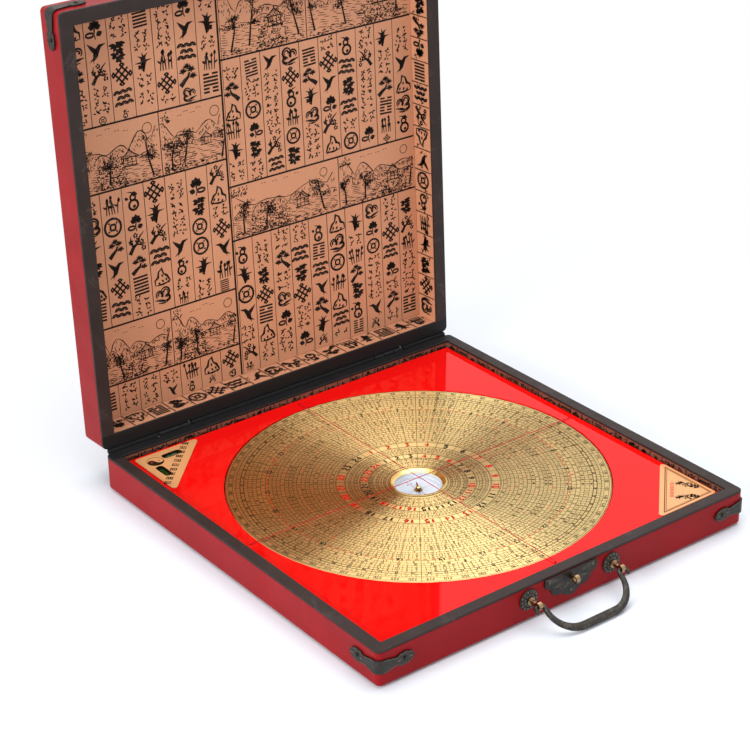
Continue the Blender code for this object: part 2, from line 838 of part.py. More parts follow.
def hasp_pin(half, finish):
    end = hasp_width / 2
    r = hasp_pin_radius
    ease = hasp_pin_ease
    profile = [(r - ease, -end), (r, -end + ease), (r, end - ease), (r - ease, end)]
    return add("hasp_pin", turned(profile, small_sides), finish, location=hasp_axis(half),
               rotation=(0, math.pi / 2, 0))


def board_block(finish):
    """The square board, with a round recess for the dial and a bore for its bush."""
    def loop(inset, height):
        shift = base_rim_width + board_side_gap + inset
        return rounded_loop(shift, height, radius=shift + board_corner)
    ease = board_ease
    made = add("compass_board", skin([loop(ease, board_bottom), loop(0, board_bottom + ease),
                                      loop(0, board_top - ease), loop(ease, board_top)]), finish)
    over = board_top + cut_overrun
    bore = bush_outer + fit_gap
    carve(made, turned([(recess_radius, recess_floor), (recess_radius, over)], dial_sides))
    carve(made, turned([(bore, bore_floor), (bore, over)], capsule_sides))
    deep = thread_depth + fit_gap
    for x, y in thread_ends():
        drill([made], (x, y, board_top), (0, 0, 1), thread_hole_radius, deep, cut_overrun)
    for slot in vial_slots():
        carve(made, block(*slot))
    return made


def thread_ends():
    """The four holes in the board, outside the dial, in the order right, left, back, front."""
    x = board_half_x - thread_hole_inset
    y = board_half_y - thread_hole_inset
    return [(x, 0), (-x, 0), (0, y), (0, -y)]


def thread(name, reach, level, turn, finish):
    """A taut thread over the dial, its ends turned down into the board."""
    curve = bpy.data.curves.new(name, "CURVE")
    curve.dimensions = "3D"
    curve.bevel_depth = thread_radius
    curve.bevel_resolution = 2
    curve.use_fill_caps = True
    height = board_top + level
    right = [(reach, board_top - thread_depth), (reach, (board_top + height) / 2 - thread_bend)]
    steps = 4
    for k in range(steps + 1):
        a = math.pi / 2 * k / steps
        right.append((reach - thread_bend * (1 - math.cos(a)), height - thread_bend * (1 - math.sin(a))))
    points = [(-x, z) for x, z in right] + [(0, height)] + right[::-1]
    spline = curve.splines.new("POLY")
    spline.points.add(len(points) - 1)
    for slot, (x, z) in zip(spline.points, points):
        slot.co = (x, 0, z, 1)
    curve.materials.append(finish)
    made = bpy.data.objects.new(name, curve)
    bpy.context.collection.objects.link(made)
    made.rotation_euler = (0, 0, turn)
    return made


def label_corner_point(way):
    """The square corner of a label on the board; way is -1 at the back left and 1 at the front right."""
    if way < 0:
        return -board_half_x + back_label_inset_x, board_half_y - back_label_inset_y
    return board_half_x - front_label_inset_x, -board_half_y + front_label_inset_y


def label_outline():
    """A right triangle with rounded corners: the square one at the origin, the legs along +X and +Y."""
    r = label_corner
    cut = r / math.tan(math.pi / 8)
    steps = 4
    points = []
    sharp_turn = math.pi * 3 / 4
    for centre, start, span in (((r, r), math.pi, math.pi / 2),
                                ((label_leg - cut, r), -math.pi / 2, sharp_turn),
                                ((r, label_leg - cut), math.pi / 4, sharp_turn)):
        for k in range(steps + 1):
            a = start + span * k / steps
            points.append((centre[0] + r * math.cos(a), centre[1] + r * math.sin(a)))
    return points


def label(name, way, finish):
    x, y = label_corner_point(way)
    face = board_top + fit_gap
    outline = [(x - way * px, y + way * py) for px, py in label_outline()]
    return add(name, plate(outline, label_thickness, Matrix.Translation((0, 0, face))), finish)


def vial_places():
    """The middles of the two vials, and whether each lies along X."""
    x, y = label_corner_point(-1)
    return [((x + vial_along, y - vial_across), True), ((x + vial_across, y - vial_along), False)]


def vial_slots():
    """The boxes cut for the vials through the label and into the board."""
    half_long = vial_length / 2 + vial_slot_gap
    half_wide = vial_radius + vial_slot_gap
    low = board_top + vial_proud - 2 * vial_radius - vial_slot_gap
    high = board_top + fit_gap + label_thickness + cut_overrun
    boxes = []
    for (x, y), along_x in vial_places():
        dx, dy = (half_long, half_wide) if along_x else (half_wide, half_long)
        boxes.append(((x - dx, y - dy, low), (x + dx, y + dy, high)))
    return boxes


def vial(name, place, finish):
    """A small sealed tube with domed ends, lying in its slot."""
    (x, y), along_x = place
    r = vial_radius
    shoulder = vial_length / 2 - vial_end
    end = [(r * wide, shoulder + vial_end * along) for wide, along in vial_end_shares]
    profile = [(radius, -h) for radius, h in end[::-1]] + end
    turn = (0, math.pi / 2, 0) if along_x else (math.pi / 2, 0, 0)
    at = (x, y, board_top + vial_proud - r)
    return add(name, turned(profile, round_sides), finish, location=at, rotation=turn)


def centre_bush(finish):
    top = recess_floor - fit_gap
    low = bore_floor + fit_gap
    profile = [(bush_inner, low), (bush_outer, low), (bush_outer, top), (bush_inner, top)]
    return add("centre_bush", turned(profile, capsule_sides, ring=True), finish)


def dish(radius, top):
    """The dished surface's height at a radius, below its rim."""
    return top - dial_dish * (1 - (radius / dial_radius) ** 2)


def dial_disc(finish):
    bore = cup_radius + fit_gap
    top = rim_top - face_thickness - fit_gap
    radii = [bore + (dial_radius - bore) * k / dish_rings for k in range(dish_rings + 1)]
    profile = [(bore, dial_bottom), (dial_radius - dial_ease, dial_bottom)]
    profile += [(dial_radius, dial_bottom + dial_ease)]
    profile += [(r, dish(r, top)) for r in radii[::-1]]
    return add("dial_disc", turned(profile, dial_sides, ring=True), finish)


def dial_face(finish):
    bore = cup_radius + fit_gap
    radii = [bore + (dial_radius - bore) * k / dish_rings for k in range(dish_rings + 1)]
    under = [(r, dish(r, rim_top - face_thickness)) for r in radii]
    over = [(r, dish(r, rim_top)) for r in radii[:-1]]
    edge = [(dial_radius, rim_top - face_thickness / 2), (dial_radius - face_thickness / 2, rim_top)]
    return add("dial_face", turned(under + edge + over[::-1], dial_sides, ring=True), finish)


def capsule_cup(finish):
    wall = cup_radius - glass_seat_width
    profile = [(cup_radius, cup_bottom), (cup_radius, cup_top), (wall, cup_top), (wall, ledge),
               (cup_inner, ledge), (cup_inner, cup_bottom + cup_floor)]
    return add("capsule_cup", turned(profile, capsule_sides), finish)


def floor_card(finish):
    hole = pivot_base_radius + fit_gap
    r = cup_inner - fit_gap
    profile = [(hole, card_bottom), (r, card_bottom), (r, card_top), (hole, card_top)]
    return add("floor_card", turned(profile, capsule_sides, ring=True), finish)


def capsule_bezel(finish):
    skirt = cup_radius
    top_inner = bezel_radius - bezel_top_width
    profile = [(bezel_throat_radius, bezel_foot), (skirt, bezel_foot), (skirt, bezel_bottom),
               (bezel_radius, bezel_bottom), (bezel_radius, bezel_top - bezel_ease),
               (bezel_radius - bezel_ease, bezel_top), (top_inner + bezel_ease, bezel_top),
               (top_inner, bezel_top - bezel_ease), (bezel_throat_radius, bezel_foot + bezel_lip)]
    return add("capsule_bezel", turned(profile, capsule_sides, ring=True), finish)


def capsule_glass(finish):
    profile = [(glass_radius, glass_bottom), (glass_radius, glass_top)]
    return add("capsule_glass", turned(profile, capsule_sides), finish)


def needle_pivot(finish):
    tip = needle_bottom + needle_thickness
    step = card_bottom + pivot_base_height
    profile = [(pivot_base_radius, card_bottom), (pivot_base_radius, step), (pivot_radius, step),
               (pivot_radius, needle_bottom - cap_drop - fit_gap), (pivot_tip_radius, tip)]
    return add("needle_pivot", turned(profile, small_sides), finish)


def needle(finish):
    """A thin lozenge with a round hub and a hole for its cap."""
    half = needle_length / 2
    outline = []
    hub_steps = 6
    for end in (1, -1):
        outline.append((0, end * half))
        for side in range(1, hub_steps):
            a = end * math.pi / 2 - math.pi * side / hub_steps
            outline.append((needle_hub_radius * math.cos(a), needle_hub_radius * math.sin(a)))
    lift = Matrix.Translation((0, 0, needle_bottom))
    made = add("needle", plate(outline, needle_thickness, lift), finish)
    over = needle_bottom + needle_thickness + cut_overrun
    under = needle_bottom - cut_overrun
    carve(made, turned([(needle_hole_radius, under), (needle_hole_radius, over)], small_sides))
    return made


def needle_cap(finish):
    """The cap that the needle hangs by: a dome over the needle and a neck round the pivot's tip."""
    seat = needle_bottom + needle_thickness + fit_gap
    low = needle_bottom - cap_drop
    roof = needle_bottom + needle_thickness + fit_gap
    profile = [(cap_cavity_top_radius, roof), (cap_cavity_radius, low), (cap_neck_radius, low),
               (cap_neck_radius, seat), (cap_radius, seat)]
    for k in range(1, cap_dome_steps + 1):
        a = math.pi / 2 * k / (cap_dome_steps + 1)
        profile.append((cap_radius * math.cos(a), seat + cap_dome * math.sin(a)))
    return add("needle_cap", turned(profile, round_sides), finish)


def base_case(half, wood, red_leather, bands, papers, sheet, bronze):
    """The base tray's layers and its corner guards; gives back the layers that the hardware pierces."""
    frame = half.frame(wood)
    wrap = base_wrap(half, red_leather)
    half.panel("base_floor", wood)
    half.rim_band(bands)
    half.wall_lining(papers)
    half.floor_lining(papers)
    add("base_underside", skin([rounded_loop(underside_margin, z) for z in (0, underside_sheet)]), sheet)
    guards(half, [frame, wrap], bronze, None)
    return [frame, wrap]


def lid_case(half, wood, red_leather, bands, papers, bronze, brass, pivot):
    """The lid's layers, its guards and its share of the latch, on the lid's empty."""
    frame = half.frame(wood)
    wrap = lid_wrap(half, red_leather)
    pieces = [frame, wrap, half.panel("lid_top", wood), half.rim_band(bands)]
    pieces += [half.wall_lining(papers), half.floor_lining(papers)]
    guards(half, [frame, wrap], bronze, pivot)
    pieces += [hasp_plate(half, bronze), hasp_pin(half, brass)]
    tongue = hasp_tongue(half, bronze)
    tongue.location = hasp_axis(half)
    for piece in [*pieces, tongue]:
        piece.parent = pivot


def front_hardware(walls, bronze, brass):
    """The latch plate and its staple, the two eye posts on their rosettes, and the bail in them."""
    hole = post_shank_radius + fit_gap
    deep = post_shank_length + fit_gap
    cloud = latch_plate(bronze)
    at = (hardware_x, front_y, staple_height)
    drill([cloud, *walls], at, (0, -1, 0), hole, deep, plate_thickness + cut_overrun)
    staple_at = (hardware_x, front_y - staple_reach, staple_height)
    eye_post("latch_staple", staple_at, staple_reach, brass, plate_thickness + 2 * fit_gap, False)
    for word, side in (("left", -1), ("right", 1)):
        x = hardware_x + side * post_spacing / 2
        rosette("rosette_" + word, x, bronze)
        drill(walls, (x, front_y, post_height), (0, -1, 0), hole, deep, cut_overrun)
        post_at = (x, front_y - post_reach, post_height)
        eye_post("eye_post_" + word, post_at, post_reach, brass, rosette_height + 2 * fit_gap, True)
    bail(bronze)


def board_group(lacquer, red_thread, foil, green, brass):
    """The loose board with its bush, threads, labels and vials."""
    board_block(lacquer)
    centre_bush(brass)
    across, along = thread_ends()[0][0], thread_ends()[2][1]
    low_level = fit_gap + thread_radius
    thread("thread_across", across, low_level, 0, red_thread)
    thread("thread_along", along, low_level + 2 * thread_radius + fit_gap, math.pi / 2, red_thread)
    back_label = label("label_back_left", -1, foil)
    for slot in vial_slots():
        carve(back_label, block(*slot))
    label("label_front_right", 1, foil)
    for name, place in zip(("vial_back", "vial_side"), vial_places()):
        vial(name, place, green)


def dial_group(gold, backing, brass, card, clear):
    """The turning dial with the capsule at its middle."""
    dial_disc(backing)
    dial_face(gold)
    capsule_cup(brass)
    floor_card(card)
    needle_pivot(brass)
    capsule_glass(clear)
    capsule_bezel(brass)


def needle_group(steel, brass):
    """The needle and its cap, turned to their heading on the pivot's axis."""
    axis = empty("needle_axis", (0, 0, 0), (0, 0, needle_heading))
    for piece in (needle(steel), needle_cap(brass)):
        piece.parent = axis


def main():
    clear_scene()
    wood = material("fibreboard", (0.36, 0.24, 0.14), 0.8)
    red_leather = material("red leather", (0.30, 0.02, 0.03), 0.42)
    bands = material("dark banding", (0.07, 0.065, 0.06), 0.55)
    papers = material("tan lining paper", (0.60, 0.36, 0.21), 0.8)
    sheet = material("underside sheet", (0.02, 0.02, 0.02), 0.9)
    cloth = material("hinge cloth", (0.02, 0.02, 0.022), 0.8)
    bronze = material("dark bronze", (0.10, 0.085, 0.06), 0.45, 0.9)
    brass = material("brass", (0.62, 0.42, 0.17), 0.3, 1.0)
    lacquer = material("red gloss coat", (0.80, 0.01, 0.01), 0.12)
    gold = material("gold dial face", (0.83, 0.62, 0.25), 0.3, 1.0)
    backing = material("dial backing", (0.20, 0.09, 0.04), 0.6)
    card = material("white card", (0.85, 0.85, 0.88), 0.6)
    clear = material("glass", (0.9, 0.95, 0.95), 0.02)
    steel = material("blued steel", (0.18, 0.19, 0.22), 0.25, 1.0)
    red_thread = material("red thread", (0.70, 0.01, 0.03), 0.6)
    foil = material("label foil", (0.80, 0.55, 0.26), 0.35, 0.4)
    green = material("green vial", (0.20, 0.55, 0.10), 0.1)

    lid_pivot = empty("lid_pivot", (0, pivot_y, pivot_z), (-lid_open_angle, 0, 0))
    lid_centre_y = -hinge_offset - case_depth / 2
    base = Half("base", base_height, -1, base_height, base_rim_width, base_stack, 0, left_guard_rise)
    lid = Half("lid", seam_gap / 2, 1, lid_height, lid_rim_width, lid_stack, lid_centre_y, 0)
    walls = base_case(base, wood, red_leather, bands, papers, sheet, bronze)
    lid_case(lid, wood, red_leather, bands, papers, bronze, brass, lid_pivot)
    hinge("left", -hinge_spacing / 2, bronze, lid_pivot)
    hinge("right", hinge_spacing / 2, bronze, lid_pivot)
    hinge_tape(cloth)
    front_hardware(walls, bronze, brass)
    board_group(lacquer, red_thread, foil, green, brass)
    dial_group(gold, backing, brass, card, clear)
    needle_group(steel, brass)


main()
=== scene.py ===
"""Looks for a feng shui compass in its hinged case.

The file is laid out as an add-on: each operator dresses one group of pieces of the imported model, which
is loaded once as a fixed frame, in metres. Run as a script it dresses everything.
"""

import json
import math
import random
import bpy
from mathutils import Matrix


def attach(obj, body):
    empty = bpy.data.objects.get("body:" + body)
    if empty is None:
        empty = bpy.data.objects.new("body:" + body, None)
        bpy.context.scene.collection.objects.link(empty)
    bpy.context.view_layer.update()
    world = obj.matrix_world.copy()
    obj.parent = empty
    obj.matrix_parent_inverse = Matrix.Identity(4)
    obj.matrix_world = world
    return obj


bl_info = {
    "name": "Feng shui compass",
    "version": (1, 0, 0),
    "blender": (4, 5, 0),
    "location": "View3D > Sidebar > Compass",
    "description": "Dresses a cased feng shui compass: lining prints, dial, metalwork and stage",
    "category": "Object",
}

import bmesh
import bpy
from bpy.props import FloatProperty, FloatVectorProperty, IntProperty, PointerProperty
from mathutils import Matrix, Vector

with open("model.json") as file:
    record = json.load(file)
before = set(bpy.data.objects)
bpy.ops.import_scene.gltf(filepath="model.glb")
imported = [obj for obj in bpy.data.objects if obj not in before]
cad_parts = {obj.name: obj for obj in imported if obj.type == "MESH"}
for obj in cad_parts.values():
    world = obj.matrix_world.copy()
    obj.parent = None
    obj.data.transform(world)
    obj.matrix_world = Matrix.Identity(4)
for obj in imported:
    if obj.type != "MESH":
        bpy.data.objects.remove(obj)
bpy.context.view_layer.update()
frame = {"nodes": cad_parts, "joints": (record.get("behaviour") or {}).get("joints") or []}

# Metres in a millimetre. Lengths in the code are in millimetres, and the frame's are in metres.
MM = 0.001
# How far ink lies over its sheet
INK_LIFT = 0.03
# The name that the export looks for on a flat print's own map
PRINT_MAP = "OFBake"
# The width of that map over a print's longest reach from its middle
MAP_ROOM = 2.02
HERE = Matrix.Identity(4)
UP = Vector((0, 0, 1))
FORWARD = Vector((0, -1, 0))
BACKWARD = Vector((0, 1, 0))


def linear(*colour):
    """An 8-bit colour as the linear values that a shader takes."""
    return tuple((c / 255 / 12.92) if c < 11 else ((c / 255 + 0.055) / 1.055) ** 2.4 for c in colour)


def hue(label, tip, red, green, blue):
    """A colour property with its default."""
    return FloatVectorProperty(name=label, description=tip, subtype="COLOR", size=3, min=0.0, max=1.0,
                               default=linear(red, green, blue))


def length(label, tip, millimetres):
    """A length property with its default."""
    return FloatProperty(name=label, description=tip, unit="LENGTH", default=millimetres * MM)


def number(label, tip, value, unit="NONE"):
    """A number property with its default."""
    return FloatProperty(name=label, description=tip, unit=unit, default=value)


class CaseLooks(bpy.types.PropertyGroup):
    """The case's cloth, banding and paper."""

    leather: hue("Leather", "Imitation leather of the outside", 150, 20, 25)
    banding: hue("Banding", "Binding of both rims", 52, 42, 40)
    # The hinge cloth's near-black is partly painted shade of the lid over the hinges.
    cloth: hue("Hinge cloth", "Cloth over the rims along the hinges", 27, 27, 28)
    # The two lengths below bound where the rims' banding is painted near-black along the hinges, as painted shade
    # of the lid.
    painted_shade_front: length("Cloth front", "How far back the hinge cloth begins", 143.9)
    painted_shade_top: length("Cloth top", "Height that the hinge cloth reaches on the open lid", 38.4)
    paper: hue("Paper", "Kraft paper of the lining", 214, 152, 116)
    # Painted shade: the base's wall paper is given this darker colour for the shade in the narrow gap between
    # board and walls.
    painted_shade: hue("Shaded paper", "Paper of the base's walls, browned by the board that rubs on it", 128, 84, 66)
    ink: hue("Ink", "Ink of the lining's print", 34, 27, 24)
    column: length("Column", "Width of a ruled column on the lining", 16.6)
    seed: IntProperty(name="Seed", description="Which order the lining's motifs come in", default=7)


class MetalLooks(bpy.types.PropertyGroup):
    """The case's fittings."""

    bronze: hue("Bronze", "Antiqued bronze of guards, plates and handle", 66, 63, 60)
    rubbed: hue("Rubbed bronze", "Bronze where handling has brightened it", 138, 128, 114)
    brass: hue("Brass", "Posts and staple", 158, 128, 96)
    gilt: hue("Gilt", "Bezel of the capsule, and the needle's cap and pivot", 255, 224, 144)
    stud: length("Stud", "Radius of a plate's nail head", 1.2)


class BoardLooks(bpy.types.PropertyGroup):
    """The compass board with its threads, labels and vials."""

    lacquer: hue("Lacquer", "Gloss coat of the board", 243, 14, 12)
    thread: hue("Thread", "Cross threads", 204, 14, 40)
    label: hue("Label", "Foil of the corner labels", 240, 176, 118)
    spirit: hue("Spirit", "Fluid in the vials", 66, 98, 66)


class DialLooks(bpy.types.PropertyGroup):
    """The dial's plate and print, and the capsule."""

    gold: hue("Gold", "Brushed plate of the dial", 251, 220, 152)
    black: hue("Black ink", "The dial's and labels' heavy marks", 38, 27, 16)
    brown: hue("Brown ink", "The dial's lines and small marks", 74, 50, 26)
    red: hue("Red ink", "Picked-out marks of the dial", 196, 20, 16)
    line: length("Line", "Width of the lines between rings", 0.32)


class StageLooks(bpy.types.PropertyGroup):
    """The floor, the light and the camera."""

    floor: hue("Floor", "Pale floor", 240, 246, 254)
    sky: number("Sky light", "Strength of the light from all round", 0.32)
    key: number("Key light", "Power of the broad light overhead", 25.0, "POWER")
    side: number("Side light", "Power of the soft light from the left", 30.0, "POWER")
    fill: number("Fill light", "Power of the soft light from the front", 7.5, "POWER")
    lens: number("Lens", "Focal length on a 36 mm sensor", 100.724, "CAMERA")


class Graph:
    """Adds nodes to one tree, each fed by values or by other nodes' outputs."""

    def __init__(self, tree):
        self.tree = tree
        tree.nodes.clear()

    def add(self, kind, feeds=None, prefix="ShaderNode", **settings):
        node = self.tree.nodes.new(prefix + kind)
        for name, value in settings.items():
            setattr(node, name, value)
        for key, value in (feeds or {}).items():
            self.feed(node.inputs[key], value)
        return node

    def feed(self, socket, value):
        if isinstance(value, bpy.types.NodeSocket):
            self.tree.links.new(value, socket)
        elif socket.type == "RGBA":
            socket.default_value = (*value[:3], 1.0)
        else:
            socket.default_value = value

    def place(self):
        return self.add("TexCoord").outputs["Object"]

    def parts(self, vector=None):
        """The three parts of a vector, or of the place that is shaded."""
        return self.add("SeparateXYZ", {0: vector or self.place()}).outputs

    def noise(self, scale, detail, distortion=0.0):
        """Noise over the piece, with scale counted over a metre."""
        feeds = {"Vector": self.place(), "Scale": scale, "Detail": detail, "Distortion": distortion}
        return self.add("TexNoise", feeds).outputs["Fac"]

    def rings(self, radius, scale, detail):
        """Noise that changes along the radius alone."""
        feeds = {"W": self.times(radius, scale), "Scale": 1.0, "Detail": detail}
        return self.add("TexNoise", feeds, noise_dimensions="1D").outputs["Fac"]

    def cells(self, scale):
        """The distance to the nearest of scattered points."""
        return self.add("TexVoronoi", {"Vector": self.place(), "Scale": scale}).outputs["Distance"]

    def sum(self, operation, first, second=0.0, clamp=False):
        """One step of arithmetic."""
        return self.add("Math", {0: first, 1: second}, operation=operation, use_clamp=clamp).outputs[0]

    def times(self, first, second, clamp=False):
        return self.sum("MULTIPLY", first, second, clamp)

    def plus(self, first, second, clamp=False):
        return self.sum("ADD", first, second, clamp)

    def span(self, value, low, high, out_low=0.0, out_high=1.0):
        """A value's place from low to high, taken to another span."""
        feeds = {"Value": value, "From Min": low, "From Max": high, "To Min": out_low, "To Max": out_high}
        return self.add("MapRange", feeds).outputs["Result"]

    def blend(self, factor, first, second):
        return self.add("Mix", {0: factor, 6: first, 7: second}, data_type="RGBA").outputs[2]

    def bump(self, height, distance, strength=1.0):
        """A normal from a height. distance is in metres."""
        return self.add("Bump", {"Height": height, "Distance": distance, "Strength": strength}).outputs[0]

    def effect(self, group, **feeds):
        return self.add("Group", feeds, node_tree=group).outputs[0]

    def patchy(self, colour, depth, scale):
        return self.effect(uneven(), Colour=colour, Depth=depth, Scale=scale)

    def touched(self, middle, spread, scale):
        return self.effect(handled(), Middle=middle, Spread=spread, Scale=scale)

    def worn(self, scale, share):
        return self.effect(rubbed(), Scale=scale, Share=share)

    def pebbled(self, scale):
        return self.effect(pebbles(), Scale=scale)

    def close(self, shader, kind="OutputMaterial"):
        self.feed(self.add(kind).inputs["Surface"], shader.outputs[0])


def shared(name, takes, gives, build):
    """A node group that several finishes use, made once. takes and gives name its sockets."""
    if name in bpy.data.node_groups:
        return bpy.data.node_groups[name]
    made = bpy.data.node_groups.new(name, "ShaderNodeTree")
    for label, value in takes.items():
        made.interface.new_socket(label, in_out="INPUT", socket_type=socket_kind(label)).default_value = value
    made.interface.new_socket(gives, in_out="OUTPUT", socket_type=socket_kind(gives))
    graph = Graph(made)
    entry = graph.add("GroupInput", prefix="Node")
    leaving = graph.add("GroupOutput", prefix="Node")
    graph.feed(leaving.inputs[gives], build(graph, entry.outputs))
    return made


def socket_kind(label):
    """The type of a group's socket, by its name."""
    return "NodeSocketColor" if label == "Colour" else "NodeSocketFloat"


def uneven():
    """Darker and lighter patches of one colour, as dye and paper have."""

    def build(graph, given):
        patch = graph.span(graph.noise(given["Scale"], 5.0), 0.3, 0.7)
        dark = graph.blend(given["Depth"], given["Colour"], (0.0, 0.0, 0.0))
        return graph.blend(patch, dark, given["Colour"])

    return shared("Uneven colour", {"Colour": (0.5, 0.5, 0.5, 1.0), "Depth": 0.2, "Scale": 20.0}, "Colour", build)


def pebbles():
    """The height of a pebbled or hammered skin."""

    def build(graph, given):
        bumps = graph.span(graph.cells(given["Scale"]), 0.0, 0.8, 1.0, 0.0)
        fine = graph.noise(graph.times(given["Scale"], 2.7), 2.0)
        return graph.plus(bumps, graph.times(fine, 0.4))

    return shared("Pebbled height", {"Scale": 900.0}, "Height", build)


def handled():
    """Roughness that wanders, as touched surfaces have."""

    def build(graph, given):
        wander = graph.span(graph.noise(given["Scale"], 6.0, 0.4), 0.25, 0.75, -1.0, 1.0)
        return graph.plus(given["Middle"], graph.times(wander, given["Spread"]), clamp=True)

    return shared("Handled roughness", {"Middle": 0.4, "Spread": 0.08, "Scale": 40.0}, "Roughness", build)


def rubbed():
    """A mask of the places that wear has reached first."""

    def build(graph, given):
        broad = graph.noise(given["Scale"], 6.0, 0.8)
        fine = graph.noise(graph.times(given["Scale"], 9.0), 3.0)
        both = graph.plus(broad, graph.times(fine, 0.35))
        low = graph.sum("SUBTRACT", 0.98, given["Share"])
        return graph.span(both, low, graph.plus(low, 0.16))

    return shared("Rubbed places", {"Scale": 60.0, "Share": 0.3}, "Mask", build)


def dusty():
    """A thin mask of dust that lies on surfaces facing up."""

    def build(graph, given):
        facing = graph.parts(graph.add("NewGeometry").outputs["Normal"])[2]
        specks = graph.span(graph.noise(420.0, 4.0), 0.55, 0.75)
        return graph.times(graph.times(specks, facing, clamp=True), given["Amount"])

    return shared("Settled dust", {"Amount": 0.1}, "Mask", build)


def finish(name, fill, *given):
    """The material of a name. fill adds its nodes, from what is given, the first time that it is asked for."""
    name += "_finish"
    if name not in bpy.data.materials:
        made = bpy.data.materials.new(name)
        made.use_nodes = True
        fill(Graph(made.node_tree), *given)
    return bpy.data.materials[name]


def principled(graph, colour, roughness, metallic=0.0, **more):
    """Closes a graph with one Principled shader."""
    feeds = {"Base Color": colour, "Roughness": roughness, "Metallic": metallic}
    feeds.update({key.replace("_", " "): value for key, value in more.items()})
    graph.close(graph.add("BsdfPrincipled", feeds))


def leather(graph, looks):
    """Pebbled imitation leather with a little dust on what lies level."""
    tone = graph.patchy(looks.leather, 0.22, 26.0)
    tone = graph.blend(graph.effect(dusty(), Amount=0.05), tone, (0.6, 0.55, 0.52))
    principled(graph, tone, graph.touched(0.36, 0.09, 55.0), Specular_IOR_Level=0.09, Coat_Weight=0.02,
               Coat_Roughness=0.2, Normal=graph.bump(graph.pebbled(1300.0), 0.00006, 0.6))


def banding(graph, looks):
    """The rims' dark binding, which turns to the cloth's near-black along the hinges: painted shade of the lid
    over the back rims.
    """
    tone = graph.patchy(looks.banding, 0.3, 45.0)
    tone = graph.blend(graph.times(graph.worn(70.0, 0.22), 0.25), tone, linear(104, 92, 86))
    spot = graph.parts()
    # Painted shade: behind and below these lengths the banding takes the cloth's near-black.
    behind = graph.sum("GREATER_THAN", spot[1], looks.painted_shade_front)
    under = graph.sum("LESS_THAN", spot[2], looks.painted_shade_top)
    tone = graph.blend(graph.times(behind, under), tone, looks.cloth)
    principled(graph, tone, graph.touched(0.5, 0.1, 90.0), Specular_IOR_Level=0.2,
               Normal=graph.bump(graph.pebbled(1900.0), 0.00005, 0.6))


def kraft(graph, colour):
    """Fibrous brown paper with darker flecks."""
    tone = graph.patchy(colour, 0.12, 9.0)
    fibre = graph.span(graph.noise(520.0, 6.0, 2.2), 0.35, 0.7)
    tone = graph.blend(graph.times(fibre, 0.16), tone, [c * 0.4 for c in colour])
    fleck = graph.span(graph.cells(260.0), 0.05, 0.09, 0.5, 0.0)
    tone = graph.blend(fleck, tone, [c * 0.25 for c in colour])
    principled(graph, tone, 0.78, Normal=graph.bump(graph.noise(900.0, 5.0, 1.0), 0.00005, 0.7))


def dry_ink(graph, colour, gap, rough=0.6):
    """Ink with lighter places where the block or brush ran dry."""
    dry = graph.times(graph.worn(160.0, gap), 0.45)
    tone = graph.blend(dry, colour, [min(1.0, c * 3 + 0.09) for c in colour])
    principled(graph, tone, rough, Specular_IOR_Level=0.08,
               Normal=graph.bump(graph.noise(1500.0, 2.0), 0.00002))


# Finishes of one uneven colour: the colour, its depth and scale, roughness, metallic, then the bump's noise
# scale and detail, distance and strength
PLAIN = {
    "black_sheet": (linear(38, 36, 37), 0.35, 300.0, 0.9, 0.0, 2600.0, 4.0, 0.0001, 0.8),
    "fibreboard": (linear(150, 112, 78), 0.3, 500.0, 0.85, 0.0, 900.0, 4.0, 0.0001, 1.0),
    "white_card": (linear(248, 245, 250), 0.05, 160.0, 0.5, 0.0, 1800.0, 3.0, 0.00003, 1.0),
    "blued_steel": (linear(58, 62, 78), 0.3, 700.0, 0.28, 1.0, 3000.0, 2.0, 0.00002, 1.0),
}


def even(graph, colour, depth, patch, rough, metallic, scale, detail, distance, strength):
    """A plain surface of one colour with a fine grain."""
    tone = graph.patchy(colour, depth, patch)
    principled(graph, tone, rough, metallic, Normal=graph.bump(graph.noise(scale, detail), distance, strength))


def plain(name):
    """One of the plain finishes."""
    return finish(name, even, *PLAIN[name])


def weave(graph, looks):
    """Black book cloth, whose near-black is partly painted shade of the lid: two sets of fine ribs across each
    other.
    """
    spot = graph.parts()
    warp = graph.sum("SINE", graph.times(spot[0], 9000.0))
    weft = graph.sum("SINE", graph.times(graph.plus(spot[1], spot[2]), 9000.0))
    principled(graph, graph.patchy(looks.cloth, 0.3, 120.0), 0.75, Specular_IOR_Level=0.15,
               Normal=graph.bump(graph.times(warp, weft), 0.00005, 0.6))


def bronze(graph, looks, scale=620.0, depth=0.00011, share=0.2, shine=0.18):
    """Antiqued bronze: dark in its hollows, brighter where it is rubbed, and lightly hammered."""
    worn = graph.times(graph.worn(420.0, share), shine)
    tone = graph.blend(worn, graph.patchy(looks.bronze, 0.3, 520.0), looks.rubbed)
    principled(graph, tone, graph.touched(0.42, 0.06, 500.0), 0.92,
               Normal=graph.bump(graph.pebbled(scale), depth, 0.8))


def blacked(graph):
    """Blackened iron, dull and almost hidden under the cloth."""
    principled(graph, graph.patchy(linear(27, 27, 29), 0.3, 400.0), 0.62, Specular_IOR_Level=0.2,
               Normal=graph.bump(graph.pebbled(900.0), 0.00003, 0.5))


def brass(graph, colour, middle, tarnish):
    """Brass with a little brown tarnish."""
    tone = graph.blend(graph.times(graph.worn(180.0, 0.28), tarnish), colour, linear(118, 84, 40))
    principled(graph, tone, graph.touched(middle, 0.08, 260.0), 1.0,
               Normal=graph.bump(graph.noise(1400.0, 3.0), 0.00003))


def lacquer(graph, looks):
    """The board's poured gloss: nearly level, with a slow waver and a few dust nibs."""
    nibs = graph.span(graph.cells(70.0), 0.0, 0.02, 1.0, 0.0)
    height = graph.plus(graph.noise(26.0, 1.0), graph.times(nibs, 0.15))
    principled(graph, graph.patchy(looks.lacquer, 0.05, 7.0), graph.touched(0.045, 0.02, 30.0), IOR=1.3,
               Normal=graph.bump(height, 0.00012, 0.25))


